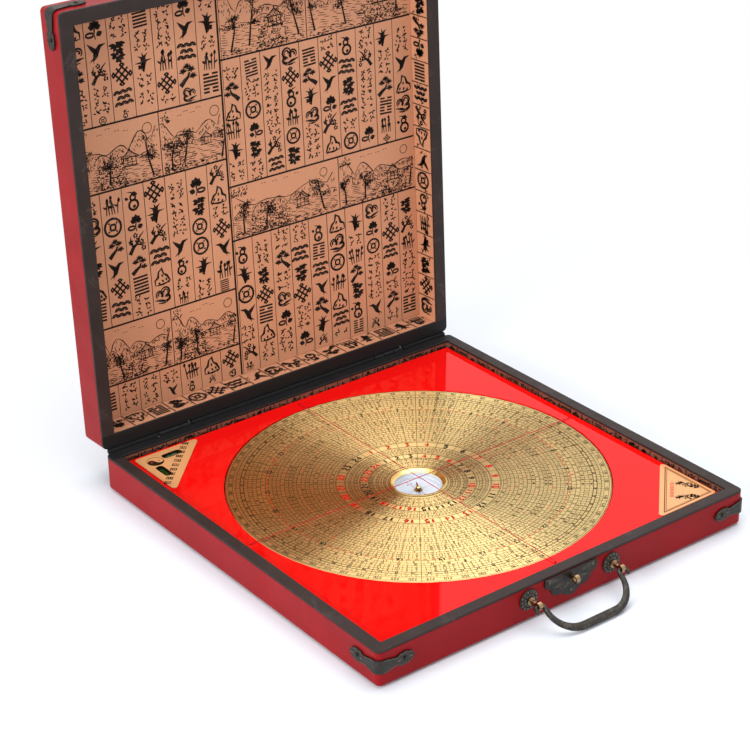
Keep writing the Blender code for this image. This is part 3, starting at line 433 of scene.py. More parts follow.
def gold(graph, looks):
    """The dial's plate, brushed in circles, so that light runs out along each radius."""
    spot = graph.parts()
    radius = graph.sum("SQRT", graph.plus(graph.times(spot[0], spot[0]), graph.times(spot[1], spot[1])))
    hair = graph.rings(radius, 5200.0, 3.0)
    streak = graph.span(hair, 0.3, 0.7, 0.0, 0.16)
    tone = graph.blend(streak, graph.patchy(looks.gold, 0.10, 30.0), linear(168, 128, 56))
    rough = graph.span(graph.rings(radius, 420.0, 2.0), 0.3, 0.7, 0.30, 0.36)
    turned = graph.add("Tangent", direction_type="RADIAL", axis="Z").outputs[0]
    principled(graph, tone, rough, 1.0, Normal=graph.bump(hair, 0.00001, 0.35), Tangent=turned,
               Anisotropic=1.0, Anisotropic_Rotation=0.25)


def turned_wood(graph):
    """The dial's wooden backing, with broad grain."""
    feeds = {"Vector": graph.place(), "Scale": 60.0, "Distortion": 6.0, "Detail": 3.0}
    grain = graph.add("TexWave", feeds, wave_type="BANDS").outputs["Fac"]
    tone = graph.blend(grain, linear(96, 58, 34), linear(134, 88, 54))
    principled(graph, tone, 0.6, Normal=graph.bump(grain, 0.00008, 0.5))


def clear(graph, tint, level):
    """Thin clear glass: what is behind it shows straight through, and its face mirrors at a slant."""
    cloudy = graph.span(graph.noise(60.0, 2.0), 0.3, 0.7, 0.0, 0.12)
    through = graph.add("BsdfTransparent", {"Color": graph.blend(cloudy, tint, (1.0, 1.0, 1.0))})
    face = graph.add("BsdfGlossy", {"Color": (1.0, 1.0, 1.0), "Roughness": 0.02})
    slant = graph.add("Fresnel", {"IOR": level})
    outer = graph.sum("SUBTRACT", 1.0, graph.add("NewGeometry").outputs["Backfacing"])
    share = graph.times(slant.outputs[0], outer)
    graph.close(graph.add("MixShader", {0: share, 1: through.outputs[0], 2: face.outputs[0]}))


def twist(graph, looks):
    """Thread laid up from strands, seen as slanting ridges."""
    spot = graph.parts()
    ridge = graph.sum("SINE", graph.times(graph.plus(graph.plus(spot[0], spot[1]), spot[2]), 9000.0))
    tone = graph.blend(graph.span(ridge, -1.0, 1.0, 0.0, 0.5), looks.thread, linear(150, 8, 20))
    principled(graph, tone, 0.55, Normal=graph.bump(ridge, 0.00004), Specular_IOR_Level=0.15)


def foil(graph, looks):
    """The labels' satin foil."""
    principled(graph, graph.patchy(looks.label, 0.1, 60.0), graph.touched(0.34, 0.08, 200.0), 0.15,
               Normal=graph.bump(graph.noise(1500.0, 3.0), 0.00003))


def spirit(graph, looks):
    """The vials' green fluid."""
    principled(graph, graph.patchy(looks.spirit, 0.3, 220.0), 0.12, Coat_Weight=0.6)


def dress(material, *names):
    """Gives CAD nodes a finish."""
    for name in names:
        for slot in frame["nodes"][name].material_slots:
            slot.material = material


def turns(count):
    """The angles of equal steps round a circle."""
    return [2 * math.pi * k / count for k in range(count)]


class Print:
    """Flat ink shapes on a sheet, in millimetres on the sheet's own two axes. weight makes strokes bolder."""

    def __init__(self, weight=1.0):
        self.shapes = []
        self.weight = weight

    def shape(self, *points):
        self.shapes.append([Vector(p) for p in points])

    def stroke(self, points, widths):
        """A brush stroke through points, as wide at each as widths says."""
        points = [Vector(p) for p in points]
        if isinstance(widths, (int, float)):
            widths = [widths] * len(points)
        edges = []
        for k, point in enumerate(points):
            run = points[min(k + 1, len(points) - 1)] - points[max(k - 1, 0)]
            run = run.normalized() if run.length else Vector((1.0, 0.0))
            side = Vector((-run.y, run.x)) * widths[k] * self.weight / 2
            edges.append((point + side, point - side))
        for (a, b), (c, d) in zip(edges, edges[1:]):
            self.shapes.append([a, b, d, c])

    def arc(self, middle, radius, start, end, widths, steps=8, squash=1.0):
        """A stroke along part of a circle from start to end, in degrees. widths is one, or one for each end."""
        angles = [math.radians(start + (end - start) * k / steps) for k in range(steps + 1)]
        if not isinstance(widths, (int, float)):
            first, last = widths
            widths = [first + (last - first) * k / steps for k in range(steps + 1)]
        points = [Vector(middle) + Vector((math.cos(a), math.sin(a) * squash)) * radius for a in angles]
        self.stroke(points, widths)

    def dot(self, middle, radius, sides):
        self.shape(*[Vector(middle) + Vector((math.cos(a), math.sin(a))) * radius for a in turns(sides)])

    def leaf(self, root, angle, long, width):
        """A pointed leaf or brush dab that leaves root at angle, in degrees."""
        root = Vector(root)
        along = Vector((math.cos(math.radians(angle)), math.sin(math.radians(angle))))
        across = Vector((-along.y, along.x)) * width * self.weight / 2
        bulge = ((0.22, 0.7), (0.48, 1.0), (0.78, 0.6))
        left = [root + along * long * t + across * w for t, w in bulge]
        right = [root + along * long * t - across * w for t, w in reversed(bulge)]
        self.shapes.append([root, *left, root + along * long, *right][::-1])

    def outline(self, low, high, width):
        (a, b), (c, d) = low, high
        for ends in (((a, b), (c, b)), ((c, b), (c, d)), ((c, d), (a, d)), ((a, d), (a, b))):
            self.stroke(ends, width)

    def stamp(self, drawing, middle, size, turn=0.0, flip=False):
        """Copies a unit drawing to middle, size across and turned by degrees."""
        c, s = math.cos(math.radians(turn)) * size, math.sin(math.radians(turn)) * size
        for points in drawing.shapes:
            flipped = [(-p.x if flip else p.x, p.y) for p in points]
            self.shapes.append([Vector(middle) + Vector((x * c - y * s, x * s + y * c)) for x, y in flipped])

    def kept_in(self, low, high):
        """Leaves out shapes that reach over the sheet's edge."""
        slack = 0.01
        self.shapes = [points for points in self.shapes if all(
            low[k] - slack <= p[k] <= high[k] + slack for p in points for k in (0, 1))]

    def piece(self, name, material, body, place, outward=UP):
        """Makes the shapes into one mesh that place sets in the frame, facing outward, and lets it ride."""
        made = bmesh.new()
        for points in self.shapes:
            face = made.faces.new([made.verts.new(place(p)) for p in points])
            face.normal_update()
            if face.normal.dot(outward) < 0:
                face.normal_flip()
        map_layer = made.loops.layers.uv.new(PRINT_MAP)
        reach = max(abs(p[k]) for points in self.shapes for p in points for k in (0, 1)) * MAP_ROOM
        for face, points in zip(made.faces, self.shapes):
            spots = {tuple(round(v, 7) for v in place(p)): p for p in points}
            for loop in face.loops:
                p = spots[tuple(round(v, 7) for v in loop.vert.co)]
                loop[map_layer].uv = (p.x / reach + 0.5, p.y / reach + 0.5)
        return solid(name, made, material, body)


def solid(name, shape, material, body, smooth=False):
    """An object from a bmesh in the frame's coordinates, which rides on a body."""
    mesh = bpy.data.meshes.new(name)
    shape.to_mesh(mesh)
    shape.free()
    if smooth:
        mesh.shade_smooth()
    mesh.materials.append(material)
    made = bpy.data.objects.new(name, mesh)
    bpy.context.scene.collection.objects.link(made)
    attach(made, body)
    return made


# Motifs: unit drawings, one across and one high round their middle

# How much bolder the brush is on motifs than their own widths say
BRUSH = 1.7


def drawn(build):
    """A motif from a function that brushes onto a fresh print, with chance from a generator."""

    def motif(rng):
        art = Print(BRUSH)
        build(art, rng)
        return art

    return motif


@drawn
def bamboo(art, rng):
    x = rng.uniform(-0.14, 0.06)
    lean = rng.uniform(-0.05, 0.08)
    levels = (-0.48, -0.18, 0.14, 0.46)
    for k in range(3):
        a, b = levels[k] + 0.02, levels[k + 1] - 0.02
        art.stroke([(x + lean * y, y) for y in (a, (a + b) / 2, b)], [0.1, 0.07, 0.1])
    for level, side in ((0.40, 1), (0.30, -1), (0.10, 1), (-0.10, -1), (-0.2, 1)):
        for fan in (-38, -12, 16):
            angle = (fan - 20 if side > 0 else 200 - fan) + rng.uniform(-8, 8)
            art.leaf((x + side * 0.04, level), angle, rng.uniform(0.28, 0.4), 0.1)


@drawn
def plum(art, rng):
    art.stroke([(-0.44, -0.42), (-0.2, -0.12), (-0.02, -0.02), (0.2, 0.3), (0.42, 0.46)],
               [0.12, 0.1, 0.07, 0.05, 0.02])
    art.stroke([(-0.2, -0.12), (-0.32, 0.16), (-0.26, 0.42)], [0.07, 0.05, 0.02])
    art.stroke([(-0.02, -0.02), (0.24, -0.14), (0.44, -0.1)], [0.06, 0.04, 0.02])
    for at in ((-0.3, 0.14), (0.04, 0.14), (0.3, -0.3), (0.24, 0.02), (-0.02, 0.4)):
        for k in range(5):
            t = math.radians(72 * k + rng.uniform(0, 40))
            art.dot((at[0] + 0.085 * math.cos(t), at[1] + 0.085 * math.sin(t)), 0.055, 6)


@drawn
def orchid(art, rng):
    for reach, top, wide in ((-0.46, 0.1, 0.08), (-0.26, 0.42, 0.09), (0.06, 0.48, 0.07), (0.3, 0.34, 0.09),
                             (0.48, 0.0, 0.08)):
        middle = (reach * 0.35, top * 0.72)
        art.stroke([(0.0, -0.46), (reach * 0.12, -0.08), middle, (reach, top)], [0.03, wide, wide * 0.8, 0.01])
    for k in range(4):
        art.leaf((0.16, -0.2), rng.uniform(-20, 20) + 90 * k + 40, 0.17, 0.09)
    art.stroke([(0.0, -0.46), (0.12, -0.32), (0.16, -0.2)], 0.03)


@drawn
def pine(art, rng):
    art.stroke([(-0.42, -0.46), (-0.2, -0.26), (0.02, -0.1), (0.1, 0.1)], [0.14, 0.12, 0.08, 0.05])
    for at in ((-0.22, 0.12), (0.2, 0.14), (0.0, 0.3), (0.26, -0.18)):
        for k in range(7):
            art.leaf(at, 90 + (k - 3) * 26 + rng.uniform(-5, 5), 0.24, 0.045)
        art.leaf(at, 270, 0.08, 0.06)


@drawn
def cloud(art, rng):
    for middle, radius, turn in (((-0.2, 0.05), 0.2, 30), ((0.16, 0.16), 0.24, 10), ((0.26, -0.18), 0.16, -30)):
        art.arc(middle, radius, turn + 200, turn - 80, (0.03, 0.09))
        art.arc((middle[0] + 0.02, middle[1]), radius * 0.5, turn + 190, turn - 60, (0.07, 0.02), 6)
    art.stroke([(-0.48, -0.2), (-0.1, -0.28), (0.1, -0.34), (0.46, -0.32)], [0.02, 0.09, 0.06, 0.01])
    art.stroke([(-0.3, -0.4), (0.0, -0.44), (0.3, -0.42)], [0.02, 0.06, 0.01])


@drawn
def swallow(art, rng):
    art.stroke([(-0.44, 0.3), (-0.16, 0.24), (0.02, 0.0), (0.1, -0.06)], [0.01, 0.1, 0.16, 0.06])
    art.stroke([(0.46, 0.42), (0.26, 0.2), (0.08, 0.02), (0.0, -0.04)], [0.01, 0.1, 0.15, 0.06])
    art.leaf((-0.04, 0.08), -62, 0.5, 0.16)
    art.stroke([(0.12, -0.24), (0.2, -0.38), (0.2, -0.48)], [0.07, 0.03, 0.01])
    art.stroke([(0.12, -0.24), (0.32, -0.36), (0.4, -0.42)], [0.07, 0.03, 0.01])
    art.leaf((-0.08, 0.12), 130, 0.16, 0.1)


@drawn
def lotus(art, rng):
    for k in range(5):
        art.leaf((0.02, 0.02), 90 + (k - 2) * 36, 0.4 - 0.03 * abs(k - 2), 0.17)
    art.stroke([(0.02, 0.0), (-0.02, -0.25), (0.04, -0.48)], [0.05, 0.04, 0.03])
    art.arc((-0.24, -0.26), 0.2, 20, 340, 0.06, 9, 0.5)
    art.leaf((0.08, -0.3), 20, 0.34, 0.16)


@drawn
def rock(art, rng):
    art.stroke([(-0.46, -0.4), (-0.3, -0.05), (-0.12, 0.1), (-0.04, 0.42), (0.16, 0.28), (0.24, -0.02),
                (0.44, -0.14), (0.46, -0.42)], [0.05, 0.08, 0.05, 0.1, 0.06, 0.09, 0.06, 0.03])
    for x, y in ((-0.2, -0.16), (0.02, 0.1), (0.04, -0.2), (0.26, -0.28), (-0.3, -0.34)):
        art.leaf((x, y), rng.uniform(235, 265), 0.2, 0.07)
    art.stroke([(-0.46, -0.42), (0.0, -0.47), (0.46, -0.43)], [0.03, 0.07, 0.02])


@drawn
def waves(art, rng):
    for row, y in enumerate((-0.36, -0.08, 0.2)):
        for k in range(3 - row % 2):
            x = -0.32 + 0.32 * k + 0.16 * (row % 2)
            art.arc((x, y), 0.17, 180, 0, 0.05, 6)
            art.arc((x, y), 0.09, 180, 0, 0.04, 5)


@drawn
def reeds(art, rng):
    for k in range(5):
        x = -0.3 + 0.15 * k
        bend = rng.uniform(-0.14, 0.16)
        top = rng.uniform(0.2, 0.46)
        art.stroke([(x, -0.46), (x + bend * 0.4, 0.0), (x + bend, top)], [0.03, 0.045, 0.02])
        art.leaf((x + bend, top - 0.16), 90 + rng.uniform(-12, 12), 0.26, 0.1)
        art.leaf((x + bend * 0.3, -0.14), rng.choice((40, 140)), 0.26, 0.06)


@drawn
def gourd(art, rng):
    art.arc((0.0, -0.2), 0.24, 0, 360, 0.07, 12)
    art.arc((0.02, 0.16), 0.14, 0, 360, 0.06, 10)
    art.stroke([(0.02, 0.3), (0.1, 0.42), (0.3, 0.46)], [0.05, 0.04, 0.01])
    art.leaf((0.1, 0.38), 200, 0.36, 0.14)
    art.leaf((0.26, 0.1), 30, 0.22, 0.1)
    art.leaf((-0.1, -0.2), -50, 0.2, 0.1)


@drawn
def knot(art, rng):
    for k in (-1, 0, 1):
        a = 0.17 * k
        art.stroke([(-0.3 + a, -a - 0.3), (0.3 + a, 0.3 - a)], 0.055)
        art.stroke([(-0.3 + a, a + 0.3), (0.3 + a, a - 0.3)], 0.055)
    for k in range(4):
        t = math.radians(90 * k)
        art.arc((0.42 * math.cos(t), 0.42 * math.sin(t)), 0.08, 90 * k - 120, 90 * k + 120, 0.05, 6)


@drawn
def coin(art, rng):
    art.arc((0.0, 0.0), 0.42, 0, 360, 0.07, 16)
    art.outline((-0.13, -0.13), (0.13, 0.13), 0.06)
    for k in range(4):
        t = math.radians(90 * k + 45)
        art.dot((0.28 * math.cos(t), 0.28 * math.sin(t)), 0.055, 6)


def bars(broken, rows, thick):
    """Solid and broken bars over each other. broken holds one bit for each, the lowest first."""
    art = Print()
    for k in range(rows):
        y = -0.42 + 0.84 * k / (rows - 1)
        for start, end in ((-0.4, -0.08), (0.08, 0.4)) if broken >> k & 1 else ((-0.4, 0.4),):
            art.stroke([(start, y), (end, y)], thick)
    return art


def hexagram(rng):
    return bars(rng.randrange(64), 6, 0.1)


@drawn
def sprig(art, rng):
    """A small spray of dabs, for the rows of small marks."""
    turn = rng.uniform(0, 360)
    for k in range(rng.choice((4, 5, 6))):
        root = (rng.uniform(-0.28, 0.28), rng.uniform(-0.28, 0.28))
        art.leaf(root, turn + 75 * k + rng.uniform(-20, 20), rng.uniform(0.4, 0.62), 0.14)


MOTIFS = (bamboo, plum, orchid, pine, cloud, swallow, lotus, rock, waves, reeds, gourd, knot, coin, hexagram)


def in_turn(rng):
    """Yields motifs without end, each of them once before any comes again."""
    while True:
        yield from reversed(rng.sample(MOTIFS, len(MOTIFS)))


# The share of small marks in a ruled column
MARK_SHARE = 0.26


def ruled_columns(art, rng, low, high, columns):
    """Ruled columns of motifs, with pairs of small marks between some of them."""
    (left, bottom), (right, top) = low, high
    width = (right - left) / columns
    for k in range(columns + 1):
        x = left + width * k
        sway = rng.uniform(-0.25, 0.25)
        art.stroke([(x, bottom), (x + sway, (bottom + top) / 2), (x, top)], rng.uniform(0.42, 0.6))
    motifs = in_turn(rng)
    for k in range(columns):
        x = left + width * (k + 0.5)
        y = top - rng.uniform(1.0, 7.0)
        while y > bottom + 6.0:
            if rng.random() < MARK_SHARE:
                y = small_marks(art, rng, x, y, bottom, width)
                continue
            size = min(width * 0.9, y - bottom) * rng.uniform(0.86, 1.0)
            if size < 5.0:
                break
            art.stamp(next(motifs)(rng), (x + rng.uniform(-0.6, 0.6), y - size / 2), size,
                      rng.uniform(-5, 5), rng.random() < 0.5)
            y -= size + rng.uniform(0.4, 1.5)


def small_marks(art, rng, x, y, bottom, width):
    """Two narrow rows of sprigs side by side. Returns where the column goes on."""
    step = 4.9
    for _ in range(rng.randrange(2, 5)):
        if y - step < bottom:
            break
        for side in (-0.17, 0.17):
            art.stamp(sprig(rng), (x + side * width * 1.15, y - step / 2), 4.7)
        y -= step
    return y - rng.uniform(0.6, 1.6)


def ridge(art, rng, left, right, base, height, peaks, width=0.4):
    """A line of hills, with short strokes down its slopes."""
    points = []
    steps = peaks * 6
    phase = rng.uniform(0, 6)
    for k in range(steps + 1):
        t = k / steps
        rise = abs(math.sin(t * peaks * math.pi + phase)) ** 0.8 * (0.6 + 0.4 * math.sin(t * 5 + phase * 2))
        level = base + height * max(rise, 0.05) + rng.uniform(-0.3, 0.3)
        points.append(Vector((left + (right - left) * t, level)))
    art.stroke(points, [width * rng.uniform(0.7, 1.6) for _ in points])
    for point in points[1:-1]:
        for k in range(rng.randrange(3, 6)):
            start = point - Vector((rng.uniform(-1.4, 1.4), rng.uniform(0.4, max(0.8, (point.y - base) * 0.8))))
            if start.y > base + 0.6:
                art.leaf(start, rng.uniform(225, 300), rng.uniform(1.4, 3.4), 0.36)


def tree(art, rng, root, height, spread):
    """A leaning trunk with pads of foliage made of dabs."""
    root = Vector(root)
    lean = rng.uniform(-0.25, 0.25) * height
    tip = root + Vector((lean, height))
    art.stroke([root, root.lerp(tip, 0.5) + Vector((rng.uniform(-1, 1), 0)), tip], [1.1, 0.8, 0.3])
    for _ in range(rng.randrange(5, 8)):
        middle = root.lerp(tip, rng.uniform(0.45, 1.05))
        middle += Vector((rng.uniform(-1, 1) * spread, rng.uniform(-1, 1)))
        art.stroke([root.lerp(tip, 0.6), middle], [0.5, 0.25])
        for _ in range(24):
            spot = middle + Vector((rng.gauss(0, 0.42) * spread, rng.gauss(0, 0.26) * spread * 0.7))
            art.leaf(spot, rng.uniform(0, 360), rng.uniform(1.0, 1.9), 0.5)


def thicket(art, rng, low, high, amount):
    """A dark bank of leaves that thins out upward."""
    (left, bottom), (right, top) = low, high
    for _ in range(amount):
        rise = rng.random() ** 1.8
        spot = (rng.uniform(left, right), bottom + (top - bottom) * rise)
        art.leaf(spot, rng.uniform(20, 160), rng.uniform(1.3, 2.6), 0.55)


def water(art, rng, low, high, rows):
    """Rows of short wavy strokes."""
    (left, bottom), (right, top) = low, high
    for k in range(rows):
        y = bottom + (top - bottom) * (k + 0.5) / rows
        x = left + rng.uniform(0, 5)
        while x < right - 3:
            run = min(rng.uniform(3, 9), right - x - 0.5)
            art.stroke([(x, y), (x + run * 0.3, y + 0.35), (x + run * 0.7, y - 0.25), (x + run, y + 0.1)],
                       [0.1, 0.34, 0.3, 0.1])
            x += run + rng.uniform(2, 6)


def pavilion(art, at, size):
    """A small open house with a curved roof."""
    unit = Print()
    unit.stroke([(-0.56, 0.02), (-0.3, 0.14), (0.0, 0.4), (0.3, 0.14), (0.56, 0.02)],
                [0.02, 0.07, 0.08, 0.07, 0.02])
    unit.stroke([(-0.5, 0.02), (0.5, 0.02)], 0.05)
    for k in range(7):
        x = -0.36 + 0.12 * k
        unit.stroke([(x * 0.3, 0.32), (x, 0.05)], 0.022)
    for x in (-0.36, -0.13, 0.13, 0.36):
        unit.stroke([(x, 0.0), (x, -0.42)], 0.045)
    unit.stroke([(-0.46, -0.42), (0.46, -0.42)], 0.06)
    unit.stroke([(-0.36, -0.24), (0.36, -0.24)], 0.025)
    unit.dot((0.0, 0.46), 0.045, 6)
    art.stamp(unit, at, size)


def boat(art, rng, at, size):
    """A boat with a low shelter and a mast."""
    unit = Print()
    unit.stroke([(-0.5, 0.06), (-0.3, -0.1), (0.2, -0.12), (0.5, 0.1)], [0.03, 0.1, 0.1, 0.03])
    unit.arc((0.0, -0.06), 0.2, 180, 0, 0.05, 6)
    unit.stroke([(0.0, 0.14), (0.02, 0.5)], 0.035)
    unit.stroke([(0.02, 0.48), (0.26, 0.2), (0.04, 0.16)], 0.035)
    art.stamp(unit, at, size, rng.uniform(-4, 4))


def shaded(art, rng, low, high, amount):
    """Close short strokes that darken a strip."""
    (left, bottom), (right, top) = low, high
    for _ in range(amount):
        x, y = rng.uniform(left, right - 3), rng.uniform(bottom, top)
        art.leaf((x, y), rng.uniform(-14, 14), rng.uniform(1.6, 3.4), 0.4)


def landscape(rng, low, high):
    """A picture of hills, water and trees."""
    art = Print(1.5)
    (left, bottom), (right, top) = low, high
    wide, tall = right - left, top - bottom
    ridge(art, rng, left, right, bottom + tall * 0.52, tall * 0.34, rng.randrange(3, 5))
    ridge(art, rng, left, right, bottom + tall * 0.40, tall * 0.2, rng.randrange(4, 7), 0.3)
    water(art, rng, (left, bottom + tall * 0.1), (right, bottom + tall * 0.4), 9)
    for side in (rng.uniform(0.06, 0.16), rng.uniform(0.84, 0.94), rng.uniform(0.3, 0.4)):
        root = (left + wide * side, bottom + rng.uniform(0.05, 0.12) * tall)
        tree(art, rng, root, tall * rng.uniform(0.4, 0.62), min(5.0, tall * 0.14))
    shore = left + wide * rng.uniform(0.62, 0.72)
    pavilion(art, (shore, bottom + tall * 0.42), min(wide * 0.2, tall * 0.34))
    afloat = left + wide * rng.uniform(0.44, 0.54)
    boat(art, rng, (afloat, bottom + tall * 0.2), min(wide * 0.12, tall * 0.22))
    shaded(art, rng, (left, bottom), (right, bottom + tall * 0.12), int(wide * 2.2))
    bank = left + wide * rng.uniform(0.0, 0.6)
    thicket(art, rng, (bank, bottom), (bank + wide * 0.34, bottom + tall * 0.4), int(wide * 2.6))
    thicket(art, rng, (left, top - tall * 0.22), (left + wide * 0.16, top), int(wide * 0.7))
    for k in range(4):
        spot = (left + wide * (0.3 + 0.1 * k), top - tall * rng.uniform(0.08, 0.2))
        art.arc(spot, 1.0, 160, 60, 0.25, 3)
        art.arc((spot[0] + 1.8, spot[1]), 1.0, 120, 20, 0.25, 3)
    art.arc((left + wide * 0.86, top - tall * 0.2), tall * 0.08, 0, 360, 0.35, 14)
    art.kept_in((left + 0.6, bottom + 0.6), (right - 0.6, top - 0.6))
    return art


# Rows of the lid's print in either part: where each begins and ends over the depth, and its columns, or 0 for
# a picture
LEFT_ROWS = ((0.0, 0.085, 7), (0.085, 0.235, 0), (0.235, 0.575, 7), (0.575, 0.735, 0), (0.735, 1.0, 7))
RIGHT_ROWS = ((0.0, 0.36, 10), (0.36, 0.50, 0), (0.50, 0.82, 10), (0.82, 1.0, 0))


def lid_print(rng, half, depth, column):
    """The print of the lid's inside: pictures and ruled columns in two unequal halves."""
    art = Print()
    split = -half + column * 7.2
    bands = ((-half, split, LEFT_ROWS), (split, half, RIGHT_ROWS))
    for left, right, rows in bands:
        for start, end, columns in rows:
            low, high = (left, depth * start), (right, depth * end)
            if columns:
                ruled_columns(art, rng, low, high, columns)
                continue
            middle = left + (right - left) * rng.uniform(0.42, 0.58)
            for a, b in ((left, middle), (middle, right)):
                art.shapes += landscape(rng, (a, low[1]), (b, high[1])).shapes
            art.stroke([(middle, low[1]), (middle, high[1])], 0.7)
    art.stroke([(split, 0.0), (split, depth)], 1.5)
    art.stroke([(split + 1.7, 0.0), (split + 1.7, depth)], 0.4)
    for left, right, rows in bands:
        for start, _, _ in rows[1:]:
            art.stroke([(left, depth * start), (right, depth * start)], 1.35)
    art.kept_in((-half, 0.0), (half, depth))
    return art


def wall_print(rng, long, tall, column, rows, turn):
    """The print of one wall: the sheet's columns carried on over the fold, with rows of motifs."""
    art = Print()
    count = max(2, round(2 * long / column))
    for k in range(count + 1):
        x = -long + 2 * long * k / count
        art.stroke([(x, 0.0), (x, tall)], 0.7)
    motifs = in_turn(rng)
    size = min(tall / rows * 0.92, column * 0.86)
    for k in range(count):
        x = -long + 2 * long * (k + 0.5) / count
        for row in range(rows):
            motif = next(motifs)
            spot = (x + rng.uniform(-1, 1), tall * (row + 0.5) / rows + rng.uniform(-0.3, 0.3))
            art.stamp(motif(rng), spot, size, turn, rng.random() < 0.5)
            for side in (-0.36, 0.36):
                art.stamp(sprig(rng), (x + side * column, tall * (row + rng.uniform(0.2, 0.8)) / rows), 3.4)
    art.kept_in((-long, 0.0), (long, tall))
    return art


# The case

# How far the prints of the lid's inside and of the base's floor end from the fold
LID_EDGE = 0.4
BASE_EDGE = 2.0
BASE_COLUMNS = 17


def lid_space():
    """The matrix from the lid as if it were shut, measured from the hinge, to the frame at rest."""
    joint = next(j for j in frame["joints"] if j["name"] == "lid_hinge")
    turn = Matrix.Rotation(math.radians(joint["range_deg"][0]), 4, "X")
    return Matrix.Translation(joint["pos_m"]) @ turn


def spots_of(node, space=HERE):
    """A node's vertices in millimetres, in another space than the frame's if one is given."""
    back = space.inverted()
    return [back @ v.co / MM for v in frame["nodes"][node].data.vertices]


def reach_of(node, space=HERE):
    """The lowest and highest corner round a node's vertices."""
    spots = spots_of(node, space)
    return [Vector(pick(s[k] for s in spots) for k in range(3)) for pick in (min, max)]


def lay(space, start, along, up, lift):
    """A function that sets a point of a sheet in the frame. start, along, up and lift are in millimetres."""
    start, along, up = Vector(start) + Vector(lift), Vector(along), Vector(up)
    return lambda p: space @ ((start + along * p.x + up * p.y) * MM)


def level_sheet(height, lift=INK_LIFT):
    """The same for a sheet that lies level at a height, along the frame's own axes."""
    return lay(HERE, (0, 0, height), (1, 0, 0), (0, 1, 0), (0, 0, lift))


def print_walls(rng, name, body, material, space, low, high, rim, floor, column, rows):
    """Prints the four walls of a half from the fold at its floor up to its rim."""
    (left, front, _), (right, back, _) = low, high
    tall = abs(rim - floor)
    up = (0, 0, 1 if rim > floor else -1)
    middle_x, middle_y = (left + right) / 2, (front + back) / 2
    sides = (
        ("back", (middle_x, back, floor), (1, 0, 0), (0, -INK_LIFT, 0), (right - left) / 2),
        ("front", (middle_x, front, floor), (-1, 0, 0), (0, INK_LIFT, 0), (right - left) / 2),
        ("left", (left, middle_y, floor), (0, 1, 0), (INK_LIFT, 0, 0), (back - front) / 2),
        ("right", (right, middle_y, floor), (0, -1, 0), (-INK_LIFT, 0, 0), (back - front) / 2),
    )
    for side, start, along, lift, long in sides:
        art = wall_print(rng, long - 0.8, tall, column, rows, rng.choice((0.0, 90.0)))
        outward = space.to_3x3() @ Vector(lift)
        art.piece(f"{name}_print_{side}", material, body, lay(space, start, along, up, lift), outward)


class COMPASS_OT_case(bpy.types.Operator):
    """Dress the case: leather, banding, paper and the sheet underneath"""

    bl_idname = "compass.case"
    bl_label = "Case"

    def execute(self, context):
        looks = context.scene.compass_case
        dress(finish("red_leather", leather, looks), "base_side_wrap", "lid_wrap")
        dress(finish("dark_banding", banding, looks), "base_rim_band", "lid_rim_band")
        tan = finish("tan_paper", kraft, looks.paper)
        dress(tan, "base_floor_lining", "lid_wall_lining", "lid_floor_lining")
        # The base's walls take the darker paper, which is painted shade.
        dress(finish("shaded_paper", kraft, looks.painted_shade), "base_wall_lining")
        dress(plain("black_sheet"), "base_underside")
        dress(finish("hinge_cloth", weave, looks), "hinge_tape")
        dress(plain("fibreboard"), "base_frame", "base_floor", "lid_frame", "lid_top")
        return {"FINISHED"}


class COMPASS_OT_lining(bpy.types.Operator):
    """Print the linings of lid and base with ruled columns and landscapes"""

    bl_idname = "compass.lining"
    bl_label = "Lining print"

    def execute(self, context):
        looks = context.scene.compass_case
        ink = finish("print_ink", dry_ink, looks.ink, 0.2)
        rng = random.Random(looks.seed)
        column = looks.column / MM
        shut = lid_space()
        low, high = reach_of("lid_floor_lining", shut)
        rim = reach_of("lid_wall_lining", shut)[0].z
        art = lid_print(rng, high.x - LID_EDGE, high.y - low.y - 2 * LID_EDGE, column)
        place = lay(shut, (0, high.y - LID_EDGE, low.z), (1, 0, 0), (0, -1, 0), (0, 0, -INK_LIFT))
        art.piece("lid_print", ink, "lid", place, shut.to_3x3() @ -UP)
        print_walls(rng, "lid", "lid", ink, shut, low, high, rim, low.z, column, 1)
        low, high = reach_of("base_floor_lining")
        rim = reach_of("base_wall_lining")[1].z
        art = Print()
        edge = Vector((BASE_EDGE, BASE_EDGE))
        ruled_columns(art, rng, low.to_2d() + edge, high.to_2d() - edge, BASE_COLUMNS)
        art.piece("base_print", ink, "case_base", level_sheet(high.z))
        print_walls(rng, "base", "case_base", ink, HERE, low, high, rim, high.z, column * 0.7, 2)
        return {"FINISHED"}


# Metalwork


def facing(way):
    """The turn that sets the Z axis along a direction."""
    return Vector(way).to_track_quat("Z", "Y").to_matrix()


def around(at, turn, radius, count, rise=0.0):
    """Points round a point and raised from it, on turned axes."""
    spots = [Vector((radius * math.cos(a), radius * math.sin(a), rise)) for a in turns(count)]
    return [Vector(at) + turn @ p for p in spots]


def ring(shape, *circle):
    """The vertices of a circle of points, which are in millimetres."""
    return [shape.verts.new(p * MM) for p in around(*circle)]


def join(shape, rings):
    """Closes the bands between rings of vertices that follow each other."""
    for low, high in zip(rings, rings[1:]):
        for n in range(len(low)):
            m = (n + 1) % len(low)
            shape.faces.new((low[n], low[m], high[m], high[n]))


def dome(shape, at, outward, radius, height, sides=12, rings=3):
    """A low dome on a surface at a point, in millimetres."""
    turn = facing(outward)
    tilts = [math.pi / 2 * k / rings for k in range(rings)]
    circles = [ring(shape, at, turn, radius * math.cos(t), sides, height * math.sin(t)) for t in tilts]
    tip = shape.verts.new((Vector(at) + turn @ Vector((0, 0, height))) * MM)
    join(shape, circles)
    for n in range(sides):
        shape.faces.new((circles[-1][n], circles[-1][(n + 1) % sides], tip))
    shape.faces.new(circles[0][::-1])


